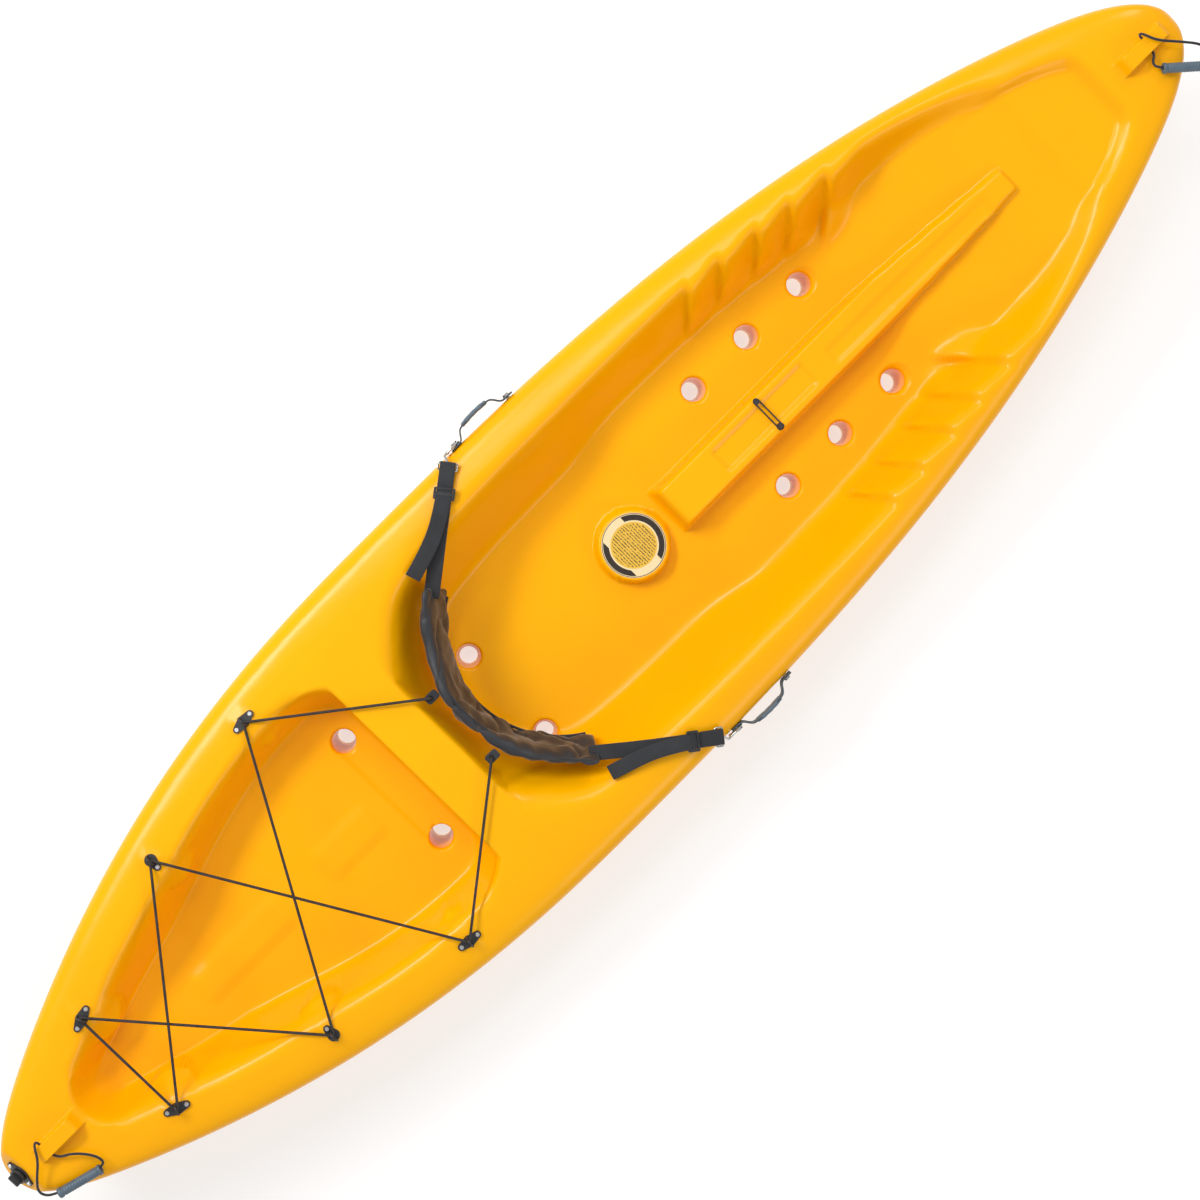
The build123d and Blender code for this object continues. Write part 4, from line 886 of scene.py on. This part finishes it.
# grips: the side handles' moulded grips and the turned toggles
sideGrip = {"from": 54, "to": 116, "y": 373.69, "z": 182, "halfHeight": 12.2, "halfThickness": 4.3,
            "bulge": 2.0, "fingers": 4, "rows": 90, "around": 32}
toggleGrip = {
    "bore": 4.6,
    "bow": ((1344, -48, 313.1), (1407.4, -103.1, 313.1)),
    "stern": ((-1298, -92, 299.5), (-1379.1, -70.3, 299.5)),
    "profile": [(8.2, 0), (9.3, 0.6), (9.5, 2), (9.5, 5.2), (9.2, 6.2), (7.9, 7), (7.7, 9), (8.2, 10.2)],
}


def addSideGrip(side, sign):
    # height and thickness swell between the fingers, and close at both ends by sqrt(1 - |2t - 1|^14)
    rows, around = sideGrip["rows"], sideGrip["around"]
    t = np.linspace(0, 1, rows)[:, None]
    close = np.sqrt(np.maximum(0, 1 - np.abs(2 * t - 1) ** 14)) * 0.98 + 0.02
    finger = np.abs(np.cos(t * math.pi * sideGrip["fingers"])) ** 0.8
    angle = circle(around)[None]
    tall = (sideGrip["halfHeight"] - 1.3 + 1.6 * finger) * close
    thick = (sideGrip["halfThickness"] - 0.3 + 0.5 * finger) * close
    z = sideGrip["z"] + tall * flattened(np.sin(angle), 0.7)
    y = sideGrip["y"] + sideGrip["bulge"] * np.sin(math.pi * t) + thick * flattened(np.cos(angle), 0.6)
    x = sideGrip["from"] + (sideGrip["to"] - sideGrip["from"]) * t + 0 * angle
    points = np.stack([x, y * sign, z], -1).reshape(-1, 3)
    faces = [face[::-sign] for face in cappedFaces(rows, around)]
    grip = newPiece("handleGrip_" + side, points, faces, materials["grip_plastic"])
    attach(grip, side + "_handle")
    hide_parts("handle_grip_" + side)


def addToggleGrip(end):
    # a ribbed outside and a plain bore, turned about the grip's own axis
    start, finish = (np.array(p, float) for p in toggleGrip[end])
    length = np.linalg.norm(finish - start)
    collar, inside = np.array(toggleGrip["profile"]), toggleGrip["bore"]
    along = np.linspace(11.5, length - 11.5, 66)
    body = np.stack([8.55 + 0.28 * np.cos(along * 2 * math.pi / 5.5), along], -1)
    other = collar[::-1] * (1, -1) + (0, length)
    bore = np.array([(inside, length - 1), (inside, length * 0.5), (inside, 1)])
    profile = np.vstack([collar, body, other, [(5.6, length)], bore, [(5.6, 0)]])
    points = revolved(profile, start, (finish - start) / length, np.array((0, 0, 1.0)), 36)
    faces = np.array(ringFaces(len(profile) + 1, 36)) % (len(profile) * 36)  # the last ring meets the first
    grip = newPiece("toggleGrip_" + end, points.reshape(-1, 3), faces[:, ::-1].tolist(),
                    materials["grip_plastic"])
    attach(grip, end + "_toggle")
    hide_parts(end + "_toggle_grip")


for side, sign in sides.items():
    addSideGrip(side, sign)
for end in ("bow", "stern"):
    addToggleGrip(end)
print("grips made")


# backrest: a padded nylon band, slack and crumpled, with a bound edge along its top and bottom
backrest = {
    "low": (118, 180, -172, -278),  # height, half width, stations of the ends and of the middle
    "high": (238, 216, -196, -300),
    "thickness": 27,
    "columns": 230,
    "around": 56,
    "growth": 0.16,  # how much larger the cloth is than its filling, which is what crumples it
    "pressure": 1.6,
    "frames": 18,
    "cap": 9,
    "binding": 2.6,
}


def bandPoint(share, rise, out):
    # an arc through the band's two ends and its middle at each height, pushed out along its radius
    low, high = np.array(backrest["low"], float), np.array(backrest["high"], float)
    level = low + (high - low) * np.asarray(rise)[..., None]
    height, width, ends, middle = (level[..., i] for i in range(4))
    sag = ends - middle
    radius = (sag**2 + width**2) / (2 * sag)
    angle = share * np.arcsin(width / radius)
    x = middle + radius - (radius + out) * np.cos(angle)
    return np.stack([x, (radius + out) * np.sin(angle), height], -1)


def crumple(share, rise):
    # bent waves that lean along the band, deeper on the starboard half, with sharp hollows between them
    bend = 1.1 * np.sin(5 * rise + 2.3 * share) + 0.7 * np.sin(3.1 * rise - 6.2 * share + 1.0)
    waves = np.sin(17 * share + bend + 1.6 * rise) + 0.6 * np.sin(29 * share - 2.2 * bend + 4 * rise + 0.8)
    creases = (1 - np.abs(np.sin(9 * share + 3.4 * rise + 1.4 * bend))) ** 2.2
    facets = np.abs(np.sin(6.5 * share - 2.6 * rise + 0.8 * bend)) - 0.64
    loose = 0.62 + 0.5 * smoothStep(-share, -0.45, 0.25)
    return loose * (1.8 * waves - 6.5 * creases + 7.0 * facets)


def slump(share):  # how the band's top edge sags and rises along it
    return 0.05 * np.sin(4.3 * share + 0.6) + 0.035 * np.sin(9.1 * share)


def addBackrest():
    columns, around = backrest["columns"], backrest["around"]
    share = np.linspace(-1, 1, columns)[:, None]
    angle = circle(around)[None]
    close = np.sqrt(np.maximum(0, 1 - np.abs(share) ** 26)) * 0.97 + 0.03
    tall = flattened(np.sin(angle), 0.62)
    deep = flattened(np.cos(angle), 0.75)
    rise = 0.5 + 0.455 * tall * (0.85 + 0.15 * close) + (slump(share) - 0.03) * (tall > 0) * tall
    half = backrest["thickness"] / 2 * (0.82 + 0.18 * np.cos(2.6 * share - 0.7))
    out = half * deep * close + crumple(share + 0.02 * deep, rise) * flattened(deep, 0.5) * close
    points = bandPoint(share * 0.985 + 0 * angle, rise, out).reshape(-1, 3)
    run = share * 235 + 0 * angle
    girth = angle / (2 * math.pi) * 270 + 0 * share
    uv = np.stack([run, girth], -1).reshape(-1, 2) / 1000
    points = np.vstack([points, points[:around].mean(0), points[-around:].mean(0)])
    uv = np.vstack([uv, uv[0], uv[-1]])
    pad = newPiece("backrestPad", points, poledFaces(columns, around), materials["pad_fabric"], uv)
    faceTheRightWay(pad)
    swell(pad, points)
    smooth = pad.modifiers.new("smooth", "SUBSURF")
    smooth.levels = smooth.render_levels = 1
    applyModifiers(pad)
    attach(pad, "backrest")
    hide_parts("backrest_pad")
    for edge, rise in (("Top", 0.93), ("Bottom", 0.045)):
        share = np.linspace(-0.955, 0.955, 180)
        wave = (slump(share) - 0.015) * (edge == "Top")
        line = bandPoint(share, rise + wave, 0 * share)
        binding = tube("backrestBinding" + edge, line, backrest["binding"], materials["webbing"], 10)
        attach(binding, "backrest")
        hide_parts("backrest_pad")


def faceTheRightWay(piece):  # faces turned so that the closed shape's volume is positive
    mesh = piece.data
    start = np.empty(len(mesh.polygons), np.int32)
    mesh.polygons.foreach_get("loop_start", start)
    first, second, third = (pointsOf(mesh)[cornersOf(mesh)[start + k]] for k in range(3))
    if (first * np.cross(second, third)).sum() < 0:
        mesh.flip_normals()


def swell(pad, rest):
    # cloth larger than its filling, blown up a little without gravity; no point moves further than the cap
    cloth = pad.modifiers.new("cloth", "CLOTH")
    settings = cloth.settings
    settings.quality = 5
    settings.mass = 0.2
    settings.tension_stiffness = settings.compression_stiffness = 18
    settings.shear_stiffness = 8
    settings.bending_stiffness = 0.25
    settings.use_pressure = True
    settings.uniform_pressure_force = backrest["pressure"]
    settings.shrink_min = -backrest["growth"]
    settings.effector_weights.gravity = 0
    cloth.point_cache.frame_start, cloth.point_cache.frame_end = 1, backrest["frames"]
    scene = bpy.context.scene
    for frameNumber in range(1, backrest["frames"] + 1):
        scene.frame_set(frameNumber)
    depsgraph = bpy.context.evaluated_depsgraph_get()
    mesh = bpy.data.meshes.new_from_object(pad.evaluated_get(depsgraph))
    shift = pointsOf(mesh) - rest
    bpy.data.meshes.remove(mesh)
    pad.modifiers.clear()
    scene.frame_set(1)
    reach = np.linalg.norm(shift, axis=1, keepdims=True)
    shift *= np.minimum(1, backrest["cap"] / np.maximum(reach, 1e-9))
    print("backrest cloth moved", round(float(reach.mean()), 1), "mm on average")
    pad.data.vertices.foreach_set("co", ((rest + shift) / 1000).ravel())
    pad.data.update()


addBackrest()

tabs = {"y": 75, "hole": -322.5, "z": 232, "half": (13, 9), "holeRadius": 3.4, "thickness": 3.2}


def addTab(side, sign):
    # a doubled tab of webbing round a punched hole: radius runs from the hole out to a rounded rectangle
    angle = circle(64)
    across, along = np.cos(angle), np.sin(angle)
    outer = (np.abs(across / tabs["half"][0]) ** 5 + np.abs(along / tabs["half"][1]) ** 5) ** -0.2
    section = circle(16)
    share = 0.5 + 0.5 * flattened(np.cos(section), 0.4)
    height = flattened(np.sin(section), 0.5) * tabs["thickness"] / 2
    radius = tabs["holeRadius"] + (outer[:, None] - tabs["holeRadius"]) * share[None]
    x = tabs["hole"] + 2 + (radius * across[:, None]) - 2 * (1 - share[None])
    y = sign * tabs["y"] + radius * along[:, None]
    z = tabs["z"] + height[None] + 0 * x
    points = np.stack([x, y, z], -1)
    faces = np.array(ringFaces(65, 16)) % (64 * 16)  # the last ring meets the first
    uv = points.reshape(-1, 3)[:, :2] / 1000
    tab = newPiece("backrestTab_" + side, points.reshape(-1, 3), faces.tolist(), materials["webbing"], uv)
    faceTheRightWay(tab)
    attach(tab, "backrest")
    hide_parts("backrest_tab_" + side)


for side, sign in sides.items():
    addTab(side, sign)
print("backrest made")


floor = {"reach": 20000, "colour": (0.42, 0.42, 0.42)}


def addFloor():  # plain pale studio floor under the keel
    reach = floor["reach"]
    corners = [(-reach, -reach, 0), (reach, -reach, 0), (reach, reach, 0), (-reach, reach, 0)]
    material, tree, shader = newMaterial("paleFloor", Roughness=0.8, Emission_Color=(1, 1, 1, 1),
                                         Emission_Strength=0.62)
    mask = useEffect(tree, "patches", {"Scale": 1.5, "From": 0.2, "To": 0.9})
    tree.links.new(mixColours(tree, mask, floor["colour"], tuple(c * 0.985 for c in floor["colour"])),
                   shader.inputs["Base Color"])
    sheet = newPiece("studioFloor", corners, [[0, 1, 2, 3]], material)


addFloor()
